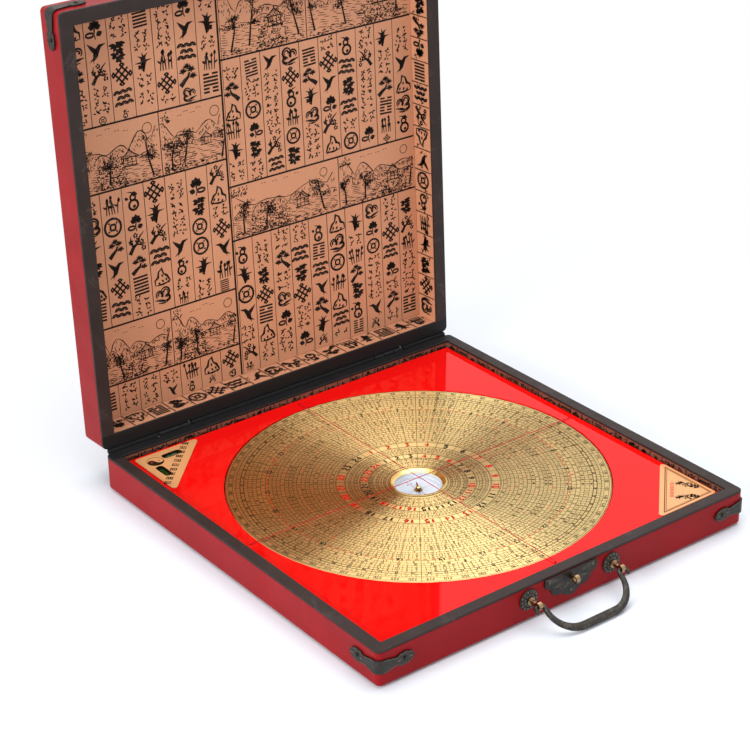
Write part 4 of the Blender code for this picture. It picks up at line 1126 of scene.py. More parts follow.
def petal(shape, at, outward, along, half_length, half_width, height):
    """A raised petal that lies on a surface along a direction."""
    z = Vector(outward).normalized()
    x = Vector(along).normalized()
    y = z.cross(x)
    rows = []
    for t in (-1.0, -0.6, 0.0, 0.6, 1.0):
        swell = math.sqrt(max(0.0, 1 - t * t))
        wide, high = half_width * swell + 0.05, height * swell
        row = [Vector(at) + x * half_length * t + y * wide * s + z * high * c
               for s, c in ((-1, 0), (-0.6, 0.8), (0, 1), (0.6, 0.8), (1, 0))]
        rows.append([shape.verts.new(p * MM) for p in row])
    join(shape, rows)
    shape.faces.new(rows[0][::-1])
    shape.faces.new(rows[-1])


def wire(shape, points, radius, sides=6):
    """A thin raised line through points, in millimetres, closed at its ends."""
    loops = []
    for k, point in enumerate(points):
        run = (points[min(k + 1, len(points) - 1)] - points[max(k - 1, 0)]).normalized()
        loops.append(ring(shape, point, facing(run), radius, sides))
    join(shape, loops)
    shape.faces.new(loops[0][::-1])
    shape.faces.new(loops[-1])


def fitting(name, build, material, body, space=HERE):
    """A metal piece that build draws in millimetres, set in the frame by space."""
    shape = bmesh.new()
    build(shape)
    bmesh.ops.transform(shape, matrix=space, verts=shape.verts)
    bmesh.ops.recalc_face_normals(shape, faces=shape.faces)
    return solid(name, shape, material, body, True)


# Corners of the hinge cloth's section on the shut lid: radius and angle in degrees about the hinge's axis
CLOTH_SECTION = ((1.73, 134.0), (1.73, 152.0), (2.55, 152.0), (2.55, 134.0))
PLUG_SECTION = ((1.14, 128.0), (1.14, 158.0), (1.76, 158.0), (1.76, 128.0))
# How far beside a hinge's leaf the cloth begins, and how far the deeper part beside it reaches
CLOTH_GAP = 0.05
PLUG_END = 1.25

# Where the lobes of a latch plate meet, over its half width and its height
LATCH_CUSPS = ((1.0, 0.0), (0.77, 0.47), (0.38, 0.77), (-0.38, 0.77), (-0.77, 0.47), (-1.0, 0.0))
# How deep a plate's relief is sunk into its face, and how far a nail head stands out from it
RELIEF_SUNK = 0.12
NAIL_RISE = 0.75
# Nail heads, across and up from the middle of the latch plate's straight side, and from the middle of the hasp
# plate at the hinge's height
LATCH_NAILS = ((-18.2, -2.6), (18.2, -2.6), (0.0, -14.2))
HASP_NAILS = ((-17.6, 7.6), (17.6, 7.6), (0.0, 15.2))
# Where the hasp plate's face lies on the shut lid, from the hinge
HASP_FACE = -311.3
# A rosette's rings of petals: radius, count, half length, half width, height and depth behind the front
ROSETTE_RINGS = ((5.75, 14, 1.15, 0.95, 0.5, 1.05), (3.5, 10, 0.85, 0.75, 0.45, 1.5))
# How far a guard's raised line runs inside its edge, and how far its two leaves lie from the nail
EDGE_INSET = 0.55
LEAF_PUSHES = (-4.7, 4.2)
# The ring of beads round a guard's nail: radius, count and radius of a bead
NAIL_BEADS = (2.5, 9, 0.42)
# Where a hinge leaf's two screws sit over its length
SCREW_SHARES = (0.18, 0.82)


def lobes(half_width, height, inset):
    """The lobed edge of a latch plate from its straight side's middle, pulled in by inset, and its centre."""
    points = []
    for (ax, ay), (bx, by) in zip(LATCH_CUSPS, LATCH_CUSPS[1:]):
        a = Vector((ax * half_width, ay * height))
        b = Vector((bx * half_width, by * height))
        out = Vector((b.y - a.y, a.x - b.x)) * -0.24
        for t in (k / 6 for k in range(6)):
            points.append(a.lerp(b, t) + out * 4 * t * (1 - t))
    points.append(Vector((-half_width, 0.0)))
    centre = Vector((0.0, height * 0.25))
    return [p - (p - centre).normalized() * inset for p in points], centre


def plate_relief(shape, middle, face, half_width, height):
    """Veins and a raised edge on a lobed plate that hangs from a straight side with its middle at middle."""
    edge, centre = lobes(half_width, height, 1.5)
    lines = [(edge, 0.32), (lobes(half_width, height, 3.4)[0], 0.22)]
    lines += [([centre.lerp(end, share) for share in (0.42, 0.72, 0.97)], 0.24) for end in edge[::3]]
    for points, radius in lines:
        wire(shape, [Vector((middle[0] + p.x, face + RELIEF_SUNK, middle[1] - p.y)) for p in points], radius)


def nails(shape, at, places, radius):
    """Nail heads on a face that looks forward, at places across and up from a point."""
    for x, z in places:
        dome(shape, (at[0] + x, at[1] + 0.05, at[2] + z), FORWARD, radius, NAIL_RISE)


def beads(shape, middle, outward, radius, count, bead):
    """A ring of small beads round a nail."""
    for spot in around(middle, facing(outward), radius, count):
        dome(shape, spot, outward, bead, bead * 0.8, 7, 2)


class COMPASS_OT_metalwork(bpy.types.Operator):
    """Dress the guards, latch, handle and hinges, and add their relief and nails"""

    bl_idname = "compass.metalwork"
    bl_label = "Metalwork"

    def execute(self, context):
        looks = context.scene.compass_metal
        fittings = [n for n in frame["nodes"] if "guard" in n or "rosette" in n]
        dress(finish("dark_bronze", bronze, looks), "latch_plate", "hasp_plate", "hasp_tongue", *fittings)
        hinges = [n for n in frame["nodes"] if n.startswith("hinge_") and n != "hinge_tape"]
        dress(finish("blacked_iron", blacked), *hinges)
        dress(finish("handle_bronze", bronze, looks, 900.0, 0.00005, 0.3, 0.25), "bail")
        posts = ("eye_post_left", "eye_post_right")
        dress(finish("brass", brass, looks.brass, 0.26, 0.5), "latch_staple", *posts, "hasp_pin", "centre_bush")
        # The relief pieces are brighter than the plates: real rubbing on their high points, and painted highlight
        # on their raised edges.
        raised = finish("raised_bronze", bronze, looks, 900.0, 0.00004, 0.5, 0.45)
        self.base_relief(looks, raised)
        self.lid_relief(looks, raised)
        return {"FINISHED"}

    def base_relief(self, looks, raised):
        """Relief on the base's latch plate, rosettes, guards and hinge leaves."""
        low, high = reach_of("latch_plate")
        middle = ((low.x + high.x) / 2, high.z)

        def latch(shape):
            plate_relief(shape, middle, low.y, (high.x - low.x) / 2, high.z - low.z)
            nails(shape, (middle[0], low.y, middle[1]), LATCH_NAILS, looks.stud / MM)

        fitting("latch_relief", latch, raised, "case_base")
        for side in ("left", "right"):
            self.rosette(f"rosette_{side}", raised)
            self.guard_beads(f"base_guard_{side}", "case_base", raised, HERE)
            leaf = f"hinge_{side}_base_leaf"
            corner = reach_of(leaf)[0]
            self.screws(leaf, "case_base", raised, HERE, corner.y + 1.0, corner.z + 5.0)

    def lid_relief(self, looks, raised):
        """Nails on the lid's hasp plate, relief on its guards and hinge leaves, and its strip of cloth."""
        shut = lid_space()
        low, high = reach_of("hasp_plate", shut)

        def hasp(shape):
            nails(shape, ((low.x + high.x) / 2, HASP_FACE, 0.0), HASP_NAILS, looks.stud / MM)

        fitting("hasp_nails", hasp, raised, "lid", shut)
        # The strips take the hinge cloth, whose near-black is partly painted shade.
        cloth = finish("hinge_cloth", weave, bpy.context.scene.compass_case)
        fitting("hinge_cloth", self.cloth_strips, cloth, "lid", shut)
        for side in ("left", "right"):
            self.guard_beads(f"lid_guard_{side}", "lid", raised, shut)
            self.screws(f"hinge_{side}_lid_leaf", "lid", raised, shut, -0.72, 9.6)

    def rosette(self, name, raised):
        """Two rings of petals on a handle's rosette."""
        low, high = reach_of(name)
        centre = (low + high) / 2

        def build(shape):
            for row, (radius, count, long, wide, rise, back) in enumerate(ROSETTE_RINGS):
                for k in range(count):
                    a = 2 * math.pi * (k + row / 2) / count
                    out = Vector((math.cos(a), 0, math.sin(a)))
                    at = Vector((centre.x, high.y - back, centre.z)) + out * radius
                    petal(shape, at, FORWARD, out, long, wide, rise)

        fitting(f"{name}_petals", build, raised, "case_base")

    def screws(self, leaf, body, raised, space, y, z):
        """The two screw heads of a hinge's leaf, which look back."""
        low, high = reach_of(leaf, space)

        def build(shape):
            for share in SCREW_SHARES:
                dome(shape, (low.x + (high.x - low.x) * share, y, z), BACKWARD, 1.5, 0.7)

        fitting(leaf.replace("_leaf", "_screws"), build, raised, body, space)

    def cloth_strips(self, shape):
        """The cloth that runs on from the tape's roll to the lid, and dips to the pin beside each hinge."""
        left, right = reach_of("hinge_tape")
        stops = [left.x]
        for side in ("left", "right"):
            low, high = reach_of(f"hinge_{side}_lid_leaf")
            stops += [low.x - CLOTH_GAP, high.x + CLOTH_GAP]
            self.cloth_bar(shape, low.x - PLUG_END, low.x - CLOTH_GAP, PLUG_SECTION)
            self.cloth_bar(shape, high.x + CLOTH_GAP, high.x + PLUG_END, PLUG_SECTION)
        stops.append(right.x)
        for start, end in zip(stops[::2], stops[1::2]):
            self.cloth_bar(shape, start, end, CLOTH_SECTION)
        bmesh.ops.scale(shape, vec=(MM, MM, MM), verts=shape.verts)

    def cloth_bar(self, shape, start, end, section):
        """One length of cloth, its section given as radii and angles about the hinge's axis."""
        corners = [(r * math.cos(math.radians(a)), r * math.sin(math.radians(a))) for r, a in section]
        ends = [[shape.verts.new((x, *corner)) for corner in corners] for x in (start, end)]
        join(shape, ends)
        shape.faces.new(ends[0][::-1])
        shape.faces.new(ends[1])

    def guard_beads(self, guard, body, raised, space):
        """Rings of beads round a guard's two nails, with the relief of its two legs."""
        sideways = Vector((-1 if "left" in guard else 1, 0, 0))
        low, high = reach_of(guard, space)

        def build(shape):
            for face, outward in (("front", FORWARD), ("side", sideways)):
                nail_low, nail_high = reach_of(f"{guard}_nail_{face}", space)
                centre = (nail_low + nail_high) / 2
                if face == "front":
                    centre.y = low.y + 0.05
                else:
                    centre.x = (low.x + 0.05) if outward.x < 0 else (high.x - 0.05)
                beads(shape, centre, outward, *NAIL_BEADS)
                self.edge_line(shape, guard, centre, outward, space)

        fitting(f"{guard}_beads", build, raised, body, space)

    def edge_line(self, shape, guard, nail, outward, space):
        """A raised line inside a guard leg's outline, and a leaf on either side of its nail."""
        along = 0 if outward.y else 1
        flat = 1 - along
        spots = spots_of(guard, space)
        level = (min if outward[flat] < 0 else max)(p[flat] for p in spots)
        stations = {}
        for p in spots:
            if abs(p[flat] - level) < 0.02 and (p - nail).length > 1.5:
                stations.setdefault(round(p[along], 2), []).append(p.z)
        rows = sorted((at, min(z) + EDGE_INSET, max(z) - EDGE_INSET) for at, z in stations.items()
                      if max(z) - min(z) > 3 * EDGE_INSET)
        if along == 0 and "right" in guard:
            rows.reverse()

        def on(at, z):
            return Vector((at, level, z)) if along == 0 else Vector((level, at, z))

        wire(shape, [on(at, high) for at, _, high in rows] + [on(at, low) for at, low, _ in rows[::-1]], 0.2)
        tip = (on(rows[-1][0], nail.z) - on(rows[0][0], nail.z)).normalized()
        for push in LEAF_PUSHES:
            petal(shape, on(nail[along], nail.z) + tip * push, outward, tip, 1.5, 0.75, 0.4)


# The board

VIALS = ("vial_back", "vial_side")
# The black surround of a vial's slot: how far out it lies, and its width
SLOT_RIM = 0.62
SLOT_LINE = 0.75
# How far a slot's painted shade, a dark box, lies outside of its vial
SLOT_SHADE_REACH = 0.34


class COMPASS_OT_board(bpy.types.Operator):
    """Dress the board with its threads, labels and vials"""

    bl_idname = "compass.board"
    bl_label = "Board"

    def execute(self, context):
        looks = context.scene.compass_board
        dial = context.scene.compass_dial
        dress(finish("red_lacquer", lacquer, looks), "compass_board")
        dress(finish("red_thread", twist, looks), "thread_across", "thread_along")
        dress(finish("label_foil", foil, looks), "label_back_left", "label_front_right")
        dress(finish("vial_glass", clear, linear(150, 205, 130), 1.3), *VIALS)
        black = finish("label_ink", dry_ink, dial.black, 0.1, 0.45)
        red = finish("label_red", dry_ink, linear(214, 60, 60), 0.1, 0.45)
        self.back_label(black, red)
        self.front_label(black, red)
        self.fluid(looks)
        self.painted_slot_shades()
        return {"FINISHED"}

    def back_label(self, black, red):
        """A roundel in the corner, bars along the long side, and surrounds for the vials' slots."""
        low, high = reach_of("label_back_left")
        middle = Vector((low.x + 10.6, high.y - 10.6))
        art = Print()
        self.taiji(art, middle, 5.9)
        for k in range(10):
            spot = Vector((low.x, low.y)).lerp(Vector((high.x, high.y)), (k + 1.2) / 11.4)
            art.stamp(bars((k * 5 + 3) % 16, 4, 0.2), spot + Vector((-3.9, 3.9)), 4.5, 45.0)
        for vial in VIALS:
            self.slot_edge(art, *reach_of(vial))
        art.piece("label_back_left_print", black, "compass_board", level_sheet(high.z))
        spots = Print()
        for side in (2.95, -2.95):
            spots.dot(middle + Vector((side, 0.0)), 0.8, 8)
        spots.piece("label_back_left_spots", red, "compass_board", level_sheet(high.z, INK_LIFT * 2))

    def slot_edge(self, art, low, high):
        """A black surround for a vial's slot."""
        middle = (low + high) / 2
        half_x, half_y = (high.x - low.x) / 2, (high.y - low.y) / 2
        radius = min(half_x, half_y)
        reach = max(half_x, half_y) - radius
        lengthwise = half_x > half_y
        points = []
        for k in range(25):
            a = 2 * math.pi * k / 24
            push = reach if math.cos(a - (0 if lengthwise else math.pi / 2)) >= 0 else -reach
            spot = Vector((middle.x, middle.y)) + Vector((math.cos(a), math.sin(a))) * (radius + SLOT_RIM)
            points.append(spot + Vector((push, 0) if lengthwise else (0, push)))
        art.stroke([*points, points[0]], SLOT_LINE)

    def taiji(self, art, middle, radius):
        """The two halves of a yin and yang disc: the outline and its dark half."""
        art.arc(middle, radius, 0, 360, 0.32, 28)
        steps = 14
        half = radius / 2
        upper, lower = [], []
        for k in range(steps + 1):
            x = -radius + 2 * radius * k / steps
            side = math.copysign(1.0, -x)
            wave = side * math.sqrt(max(half * half - (x + side * half) ** 2, 0.0))
            upper.append(Vector(middle) + Vector((x, wave)))
            lower.append(Vector(middle) + Vector((x, -math.sqrt(max(radius * radius - x * x, 0.0)))))
        for k in range(steps):
            corners = [upper[k], upper[k + 1], lower[k + 1], lower[k]]
            if k == 0:
                del corners[3]
            if k == steps - 1:
                del corners[2]
            art.shape(*corners)

    def front_label(self, black, red):
        """A double border with sprigs on both sides and a row of bars across the corner."""
        low, high = reach_of("label_front_right")
        place = level_sheet(high.z)
        corner = Vector((high.x, low.y))
        leg = high.x - low.x
        inward = Vector((-1.0, 1.0)).normalized()
        across = Vector((1.0, 1.0)).normalized()
        centre = corner + Vector((-0.293, 0.293)) * leg
        ends = (corner, corner + Vector((-leg, 0.0)) * 1.04, corner + Vector((0.0, leg)) * 1.04)
        border = Print()
        for pull, width in ((0.83, 0.75), (0.76, 0.4)):
            for a, b in ((0, 1), (1, 2), (2, 0)):
                border.stroke([centre + (ends[k] - centre) * pull for k in (a, b)], width)
        art = Print(0.75)
        rng = random.Random(11)
        for shift in (-9.4, 9.4):
            for k, motif in enumerate((bamboo, plum, orchid)):
                spot = centre + across * shift * (0.72 + 0.14 * k) + inward * (5.0 * (k - 1) - 1.4)
                art.stamp(motif(rng), spot, 7.2, 45 + 20 * (k - 1))
        art.piece("label_front_right_print", black, "compass_board", place)
        brown = finish("label_brown", dry_ink, linear(126, 66, 26), 0.1, 0.45)
        border.piece("label_front_right_border", brown, "compass_board", place)
        marks = Print()
        for k in range(5):
            spot = centre + inward * 8.6 + across * (-8.0 + 4.0 * k)
            marks.stamp(bars((k * 3 + 2) % 8, 3, 0.26), spot, 2.9, 135.0)
        marks.piece("label_front_right_marks", red, "compass_board", place)

    def fluid(self, looks):
        """Green fluid inside each vial's glass."""
        green = finish("vial_fluid", spirit, looks)
        for name in VIALS:
            low, high = reach_of(name)
            stretch = (high - low) / 2 * 0.86
            shape = bmesh.new()
            bmesh.ops.create_uvsphere(shape, u_segments=16, v_segments=8, radius=1.0)
            for v in shape.verts:
                swollen = [math.copysign(abs(c) ** 0.6, c) for c in v.co]
                v.co = ((low + high) / 2 + Vector(p * s for p, s in zip(swollen, stretch))) * MM
            solid(f"{name}_fluid", shape, green, "compass_board", True)

    def painted_slot_shades(self):
        """Painted shade in each vial's slot: a dark box round the vial, open at the label."""
        painted_shade = finish("slot_shade", dry_ink, linear(34, 24, 20), 0.1)
        level = reach_of("label_back_left")[1].z
        push = Vector((SLOT_SHADE_REACH, SLOT_SHADE_REACH, SLOT_SHADE_REACH))
        for name in VIALS:
            low, high = reach_of(name)
            low, high = low - push, high + push
            shape = bmesh.new()
            corners = ((low.x, low.y), (high.x, low.y), (high.x, high.y), (low.x, high.y))
            bottom, top = ([shape.verts.new(Vector((x, y, z)) * MM) for x, y in corners] for z in (low.z, level))
            shape.faces.new(bottom)
            join(shape, [top, bottom])
            solid(f"{name}_bed", shape, painted_shade, "compass_board")


# The dial


# The strokes of the digits from 0 to 9 in a square of side 1
DIGIT_LINES = (
    ((0.2, 0.1), (0.8, 0.1), (0.8, 0.9), (0.2, 0.9), (0.2, 0.1)),
    ((0.25, 0.7), (0.5, 0.92), (0.5, 0.08)),
    ((0.2, 0.78), (0.5, 0.94), (0.8, 0.72), (0.2, 0.1), (0.85, 0.1)),
    ((0.2, 0.9), (0.8, 0.9), (0.45, 0.56), (0.8, 0.32), (0.5, 0.08), (0.2, 0.16)),
    ((0.65, 0.08), (0.65, 0.92), (0.15, 0.35), (0.9, 0.35)),
    ((0.8, 0.9), (0.25, 0.9), (0.22, 0.55), (0.6, 0.6), (0.8, 0.35), (0.55, 0.08), (0.2, 0.12)),
    ((0.75, 0.92), (0.3, 0.6), (0.2, 0.28), (0.5, 0.08), (0.8, 0.3), (0.55, 0.54), (0.25, 0.42)),
    ((0.15, 0.9), (0.85, 0.9), (0.4, 0.08)),
    ((0.5, 0.52), (0.2, 0.74), (0.5, 0.93), (0.8, 0.74), (0.5, 0.52), (0.15, 0.28), (0.5, 0.07), (0.85, 0.28),
     (0.5, 0.52)),
    ((0.75, 0.6), (0.45, 0.45), (0.2, 0.7), (0.5, 0.93), (0.8, 0.7), (0.7, 0.3), (0.3, 0.08)),
)

# Radius of the bezel's edge, where the first ring begins
BEZEL_EDGE = 20.4
# The sides of the dial's mesh, which is a little smaller between its corners than at them
DIAL_SIDES = 72
# Rings of the dial from the bezel out: outer radius in millimetres, cells, marks, and which of them are red
RINGS = (
    (22.0, 0, "", 0), (23.6, 72, "dot", 0), (25.2, 0, "", 0), (27.0, 24, "rods", 0), (28.6, 72, "dot", 0),
    (31.0, 24, "bars", 0), (33.2, 60, "rods", 0), (39.8, 24, "count", 2), (41.4, 120, "tick", 0),
    (43.6, 60, "rods", 0), (45.8, 72, "bars", 0), (47.6, 120, "dot", 0), (49.2, 0, "", 0), (56.2, 24, "count", 3),
    (57.6, 120, "tick", 0), (60.2, 60, "rods", 0), (62.6, 72, "digits", 7), (65.4, 72, "bars", 9),
    (68.2, 72, "digits", 0), (71.0, 60, "rods", 0), (73.8, 72, "digits", 5), (76.6, 96, "bars", 0),
    (79.4, 96, "rods", 0), (82.2, 72, "digits", 4), (85.0, 96, "bars", 0), (87.8, 120, "rods", 0),
    (90.6, 120, "rods", 0), (93.4, 72, "digits", 3), (96.2, 120, "bars", 17), (99.0, 120, "digits", 0),
    (101.4, 120, "rods", 0), (103.4, 120, "dash", 1), (106.6, 72, "digits", 5), (109.6, 64, "hexagram", 0),
    (112.4, 120, "rods", 0), (115.4, 120, "digits", 0), (118.0, 120, "rods", 0), (120.6, 72, "count", 0),
    (123.4, 120, "bars", 0), (125.4, 360, "tick", 0), (128.6, 72, "degrees", 0), (130.0, 0, "", 0),
)


def figures(text, thick):
    """A number drawn with strokes, one high and as wide as it needs, round its middle."""
    art = Print()
    step = 0.78
    for k, sign in enumerate(text):
        shift = -step * (len(text) - 1) / 2 + step * k
        art.stroke([(shift + (x - 0.5) * 0.8, y - 0.5) for x, y in DIGIT_LINES[int(sign)]], thick)
    return art


def rods(value, thick):
    """A counting-rod numeral from 1 to 9."""
    art = Print()
    upright = value if value < 6 else value - 5
    for k in range(upright):
        x = (k - (upright - 1) / 2) * 0.2
        art.stroke([(x, -0.42), (x, 0.2 if value > 5 else 0.42)], thick)
    if value > 5:
        art.stroke([(-0.42, 0.36), (0.42, 0.36)], thick)
    return art


def ring_mark(kind, k):
    """The unit drawing for the k-th cell of a ring, and how much of the cell's height it takes."""
    if kind == "count":
        return figures(str(k + 1), 0.31), 0.7
    if kind == "degrees":
        return figures(str(k * 5), 0.24), 0.74
    if kind == "digits":
        return figures(str((k * 7) % 12 + 1), 0.2), 0.78
    if kind == "rods":
        return rods((k * 5) % 9 + 1, 0.14), 0.8
    if kind == "bars":
        return bars((k * 5 + 1) % 8, 3, 0.17), 0.76
    if kind == "hexagram":
        return bars((k * 23 + 5) % 64, 6, 0.1), 0.84
    art = Print()
    if kind == "tick":
        art.stroke([(0.0, -0.5), (0.0, 0.5 if k % 5 == 0 else 0.1)], 0.14)
        return art, 0.96
    if kind == "dash":
        art.stroke([(-0.95, 0.0), (0.95, 0.0)], 0.56)
    else:
        art.dot((0.0, 0.0), 0.42, 6)
    return art, 0.7


def is_red(kind, k, step):
    """Whether a ring's k-th mark is red. In the rings of large numbers the red ones stand in groups."""
    if kind == "count":
        return bool({2: k // 3 % 2, 3: (k + 2) // 2 % 3}.get(step, 0))
    return step > 0 and k % step == 0


def face_height(node):
    """A function that gives the height of a turned face over the radius, in millimetres, from its mesh."""
    top = {}
    for v in frame["nodes"][node].data.vertices:
        radius = round(math.hypot(v.co.x, v.co.y) / MM, 1)
        top[radius] = max(top.get(radius, -1e9), v.co.z / MM)
    stops = sorted(top.items())

    def height(radius):
        radius = min(max(radius, stops[0][0]), stops[-1][0])
        for (r0, z0), (r1, z1) in zip(stops, stops[1:]):
            if r0 <= radius <= r1:
                return z0 + (z1 - z0) * (radius - r0) / max(r1 - r0, 1e-6)
        return stops[-1][1]

    return height


def polar(angle, radius):
    """A point of the dial, its angle from the back and clockwise."""
    return Vector((math.sin(angle) * radius, math.cos(angle) * radius))


class COMPASS_OT_dial(bpy.types.Operator):
    """Dress the dial's plate and print its rings"""

    bl_idname = "compass.dial"
    bl_label = "Dial"

    def execute(self, context):
        looks = context.scene.compass_dial
        dress(finish("gold_plate", gold, looks), "dial_face")
        dress(finish("dial_backing", turned_wood), "dial_disc")
        black, brown, red = Print(), Print(), Print()
        inner = BEZEL_EDGE
        line = looks.line / MM
        self.circle(brown, inner, line)
        for outer, cells, kind, step in RINGS:
            self.circle(brown, outer, line)
            for k in range(cells):
                self.cell((black, brown, red), (inner, outer), k, cells, kind, step, line)
            for share in (0.09, 0.91) if kind == "count" else ():
                self.circle(brown, inner + (outer - inner) * share, line)
            inner = outer
        self.sectors(black, brown, line)
        height = face_height("dial_face")

        def place(p):
            return Vector((p.x, p.y, height(p.length / math.cos(math.pi / DIAL_SIDES)) + INK_LIFT)) * MM

        for name, art, colour, gap in (("black", black, looks.black, 0.16), ("brown", brown, looks.brown, 0.16),
                                       ("red", red, looks.red, 0.1)):
            art.piece(f"dial_print_{name}", finish(f"dial_{name}", dry_ink, colour, gap, 0.4), "dial", place)
        return {"FINISHED"}

    def sectors(self, black, brown, line):
        """Lines from bezel to rim between the 24 directions, and a number over each in the dashed ring."""
        stops = [outer for outer, *_ in RINGS]
        dashed = [kind for _, _, kind, _ in RINGS].index("dash")
        middle = (stops[dashed - 1] + stops[dashed]) / 2
        for k, turn in enumerate(turns(24)):
            brown.stroke([polar(turn + math.pi / 24, radius) for radius in stops], line * 1.1)
            black.stamp(figures(str(k + 1), 0.3), polar(turn, middle), 3.4, -math.degrees(turn))

    def circle(self, art, radius, width):
        """A line round the dial, in steps that the eye doesn't see."""
        steps = 120 if radius > 45 else 72
        points = [polar(2 * math.pi * k / steps, radius) for k in range(steps + 1)]
        wider, closer = 1 + width / 2 / radius, 1 - width / 2 / radius
        for a, b in zip(points, points[1:]):
            art.shape(a * wider, b * wider, b * closer, a * closer)

    def cell(self, inks, radii, k, cells, kind, step, line):
        """One cell: its dividing line and its mark, red where the ring says so."""
        black, brown, red = inks
        inner, outer = radii
        middle = (inner + outer) / 2
        turn = 2 * math.pi * k / cells
        half = math.pi / cells
        if kind not in ("tick", "dot", "dash", "degrees"):
            brown.stroke([polar(turn - half, radius) for radius in (inner, middle, outer)], line * 0.85)
        if kind == "dash" and k % 5 == 0:
            return
        drawing, share = ring_mark(kind, k)
        size = (outer - inner) * share
        if kind in ("rods", "bars", "hexagram"):
            size = min(size, 2 * half * middle * 0.9)
        art = black if kind in ("count", "degrees", "dot") else brown
        if is_red(kind, k, step):
            art = red
        art.stamp(drawing, polar(turn, middle), size, -math.degrees(turn))


# The capsule


class COMPASS_OT_capsule(bpy.types.Operator):
    """Dress the needle's capsule: bezel, glass, card and needle"""

    bl_idname = "compass.capsule"
    bl_label = "Capsule"

    def execute(self, context):
        dial = context.scene.compass_dial
        metal = context.scene.compass_metal
        dress(finish("gilt", brass, metal.gilt, 0.17, 0.12), "capsule_bezel", "needle_cap", "needle_pivot")
        dress(plain("white_card"), "floor_card", "capsule_cup")
        dress(finish("capsule_clear", clear, linear(246, 250, 252), 1.22), "capsule_glass")
        dress(plain("blued_steel"), "needle")
        art = Print()
        art.stroke([(0.0, -13.6), (0.0, -3.2)], 0.32)
        art.stroke([(0.0, 3.2), (0.0, 13.6)], 0.32)
        for side in (-1, 1):
            art.dot((1.5 * side, 9.6), 0.62, 10)
            art.stroke([(3.2 * side, 0.0), (13.6 * side, 0.0)], 0.16)
        for turn in turns(24):
            art.stroke([polar(turn, 13.9), polar(turn, 14.7)], 0.2)
        red = finish("card_red", dry_ink, linear(200, 30, 90), 0.05, 0.5)
        art.piece("card_print", red, "dial", level_sheet(reach_of("floor_card")[1].z))
        self.needle_tip(dial)
        return {"FINISHED"}

    def needle_tip(self, dial):
        """A red coat over the needle's north end."""
        spots = spots_of("needle")
        tip = max(spots, key=lambda p: p.y).to_2d()
        along = tip.normalized()
        across = Vector((along.y, -along.x))
        near, far = along * 4.6, tip * 0.97
        art = Print()
        art.shape(near + across * 0.7, far + across * 0.12, far - across * 0.12, near - across * 0.7)
        red = finish("needle_red", dry_ink, dial.red, 0.1, 0.3)
        art.piece("needle_north", red, "needle", level_sheet(max(p.z for p in spots)))


# The stage


# The camera's place in metres and its own three axes, solved from the case's corners
CAMERA_AT = (-0.76635, -0.97079, 0.72204)
CAMERA_RIGHT = (0.79385, -0.60791, -0.01570)
CAMERA_UP = (0.28435, 0.34826, 0.89323)
CAMERA_BACK = (-0.53753, -0.71356, 0.44933)
# Lamps, in metres: place, aim, width, which of the stage's powers it has, and whether gloss mirrors it
LAMPS = {
    "overhead": ((0.22, 0.1, 1.55), (0.0, 0.0, 0.0), 2.0, "key", True),
    "left": ((-1.9, -0.35, 0.75), (0.0, 0.0, 0.1), 1.0, "side", False),
    "front": ((-0.5, -2.0, 0.9), (0.0, 0.0, 0.15), 1.2, "fill", False),
}
# The floor in metres: half its side, its height, and where over the distance it fades to white
FLOOR_REACH = 6.0
FLOOR_LEVEL = -0.0002
FLOOR_FADE = (0.2, 0.52)


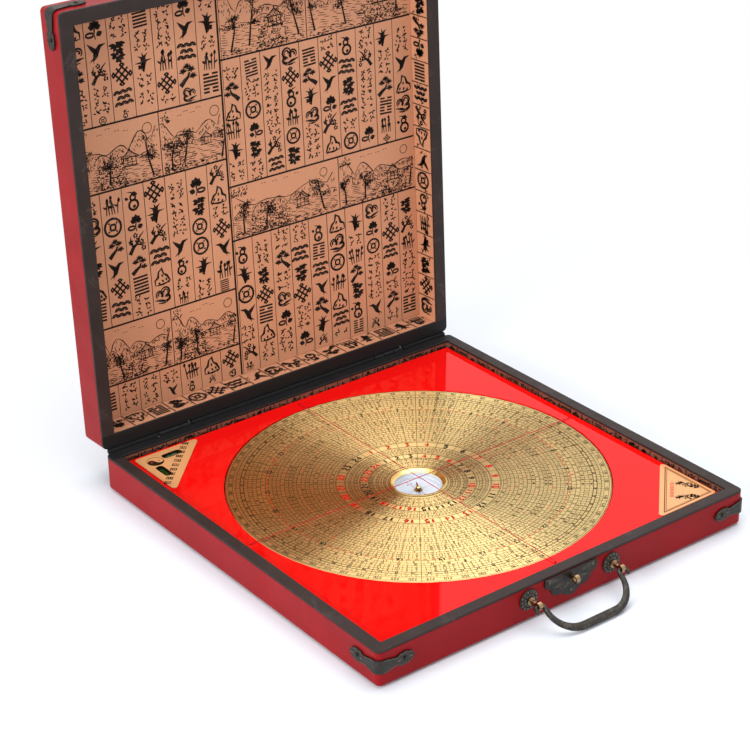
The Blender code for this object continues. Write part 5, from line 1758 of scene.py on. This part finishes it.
class COMPASS_OT_stage(bpy.types.Operator):
    """Set the floor, the light and the camera"""

    bl_idname = "compass.stage"
    bl_label = "Stage"

    def execute(self, context):
        looks = context.scene.compass_stage
        self.floor(context, looks)
        self.sky(context, looks)
        for name, (at, aim, size, power, glints) in LAMPS.items():
            self.lamp(context, name, at, aim, size, getattr(looks, power), glints)
        self.camera(context, looks)
        context.scene.view_settings.view_transform = "Standard"
        return {"FINISHED"}

    def floor(self, context, looks):
        """A sheet under the model."""
        mesh = bpy.data.meshes.new("floor")
        signs = ((-1, -1), (1, -1), (1, 1), (-1, 1))
        corners = [(x * FLOOR_REACH, y * FLOOR_REACH, FLOOR_LEVEL) for x, y in signs]
        mesh.from_pydata(corners, [], [(0, 1, 2, 3)])
        mesh.materials.append(finish("pale_floor", self.fading, looks))
        made = bpy.data.objects.new("floor", mesh)
        context.scene.collection.objects.link(made)

    def fading(self, graph, looks):
        """The floor's paint, which fades to the white of the background."""
        grain = graph.bump(graph.noise(300.0, 3.0), 0.0001, 0.3)
        feeds = {"Base Color": graph.patchy(looks.floor, 0.02, 3.0), "Roughness": 0.7, "Normal": grain}
        sheet = graph.add("BsdfPrincipled", feeds)
        glow = graph.add("Emission", {"Color": (1.0, 1.0, 1.0), "Strength": 1.0})
        away = graph.add("VectorMath", {0: graph.place()}, operation="LENGTH").outputs["Value"]
        share = graph.times(graph.span(away, *FLOOR_FADE), self.seen(graph))
        graph.close(graph.add("MixShader", {0: share, 1: sheet.outputs[0], 2: glow.outputs[0]}))

    def seen(self, graph):
        """A mask of the rays that show the background: the camera's, and those by way of gloss or glass."""
        path = graph.add("LightPath").outputs
        both = graph.plus(path["Is Camera Ray"], path["Is Glossy Ray"])
        return graph.plus(both, path["Is Transmission Ray"], clamp=True)

    def sky(self, context, looks):
        """White where it is seen, and dimmer where it lights."""
        world = bpy.data.worlds.new("studio")
        world.use_nodes = True
        graph = Graph(world.node_tree)
        level = graph.add("Mix", {0: self.seen(graph), 2: looks.sky, 3: 1.0}).outputs[0]
        graph.close(graph.add("Background", {"Color": (1.0, 1.0, 1.0), "Strength": level}), "OutputWorld")
        context.scene.world = world

    def lamp(self, context, name, at, aim, size, watts, glints):
        """A round soft light."""
        data = bpy.data.lights.new(name, "AREA")
        data.shape = "DISK"
        data.size = size
        data.energy = watts
        made = bpy.data.objects.new(name, data)
        made.location = at
        made.visible_glossy = glints
        made.rotation_euler = (Vector(aim) - Vector(at)).to_track_quat("-Z", "Y").to_euler()
        context.scene.collection.objects.link(made)

    def camera(self, context, looks):
        data = bpy.data.cameras.new("camera")
        data.lens = looks.lens
        data.sensor_width = 36.0
        data.clip_start = 0.01
        made = bpy.data.objects.new("camera", data)
        turn = Matrix((CAMERA_RIGHT, CAMERA_UP, CAMERA_BACK)).transposed()
        made.matrix_world = Matrix.Translation(CAMERA_AT) @ turn.to_4x4()
        context.scene.collection.objects.link(made)
        context.scene.camera = made


class COMPASS_PT_panel(bpy.types.Panel):
    """The compass's sizes, colours and steps"""

    bl_label = "Compass"
    bl_idname = "COMPASS_PT_panel"
    bl_space_type = "VIEW_3D"
    bl_region_type = "UI"
    bl_category = "Compass"

    def draw(self, context):
        for name, group in LOOKS.items():
            box = self.layout.box()
            for key in group.__annotations__:
                box.prop(getattr(context.scene, name), key)
        for step in STEPS:
            self.layout.operator(step.bl_idname)


LOOKS = {
    "compass_case": CaseLooks,
    "compass_metal": MetalLooks,
    "compass_board": BoardLooks,
    "compass_dial": DialLooks,
    "compass_stage": StageLooks,
}
STEPS = (
    COMPASS_OT_stage, COMPASS_OT_case, COMPASS_OT_lining, COMPASS_OT_metalwork, COMPASS_OT_board, COMPASS_OT_dial,
    COMPASS_OT_capsule,
)


def register():
    for made in (*LOOKS.values(), *STEPS, COMPASS_PT_panel):
        bpy.utils.register_class(made)
    for name, group in LOOKS.items():
        setattr(bpy.types.Scene, name, PointerProperty(type=group))


def unregister():
    for name in LOOKS:
        delattr(bpy.types.Scene, name)
    for made in reversed((*LOOKS.values(), *STEPS, COMPASS_PT_panel)):
        bpy.utils.unregister_class(made)


def main():
    """Dresses everything."""
    register()
    for step in STEPS:
        group, name = step.bl_idname.split(".")
        getattr(getattr(bpy.ops, group), name)()


if __name__ == "__main__":
    main()
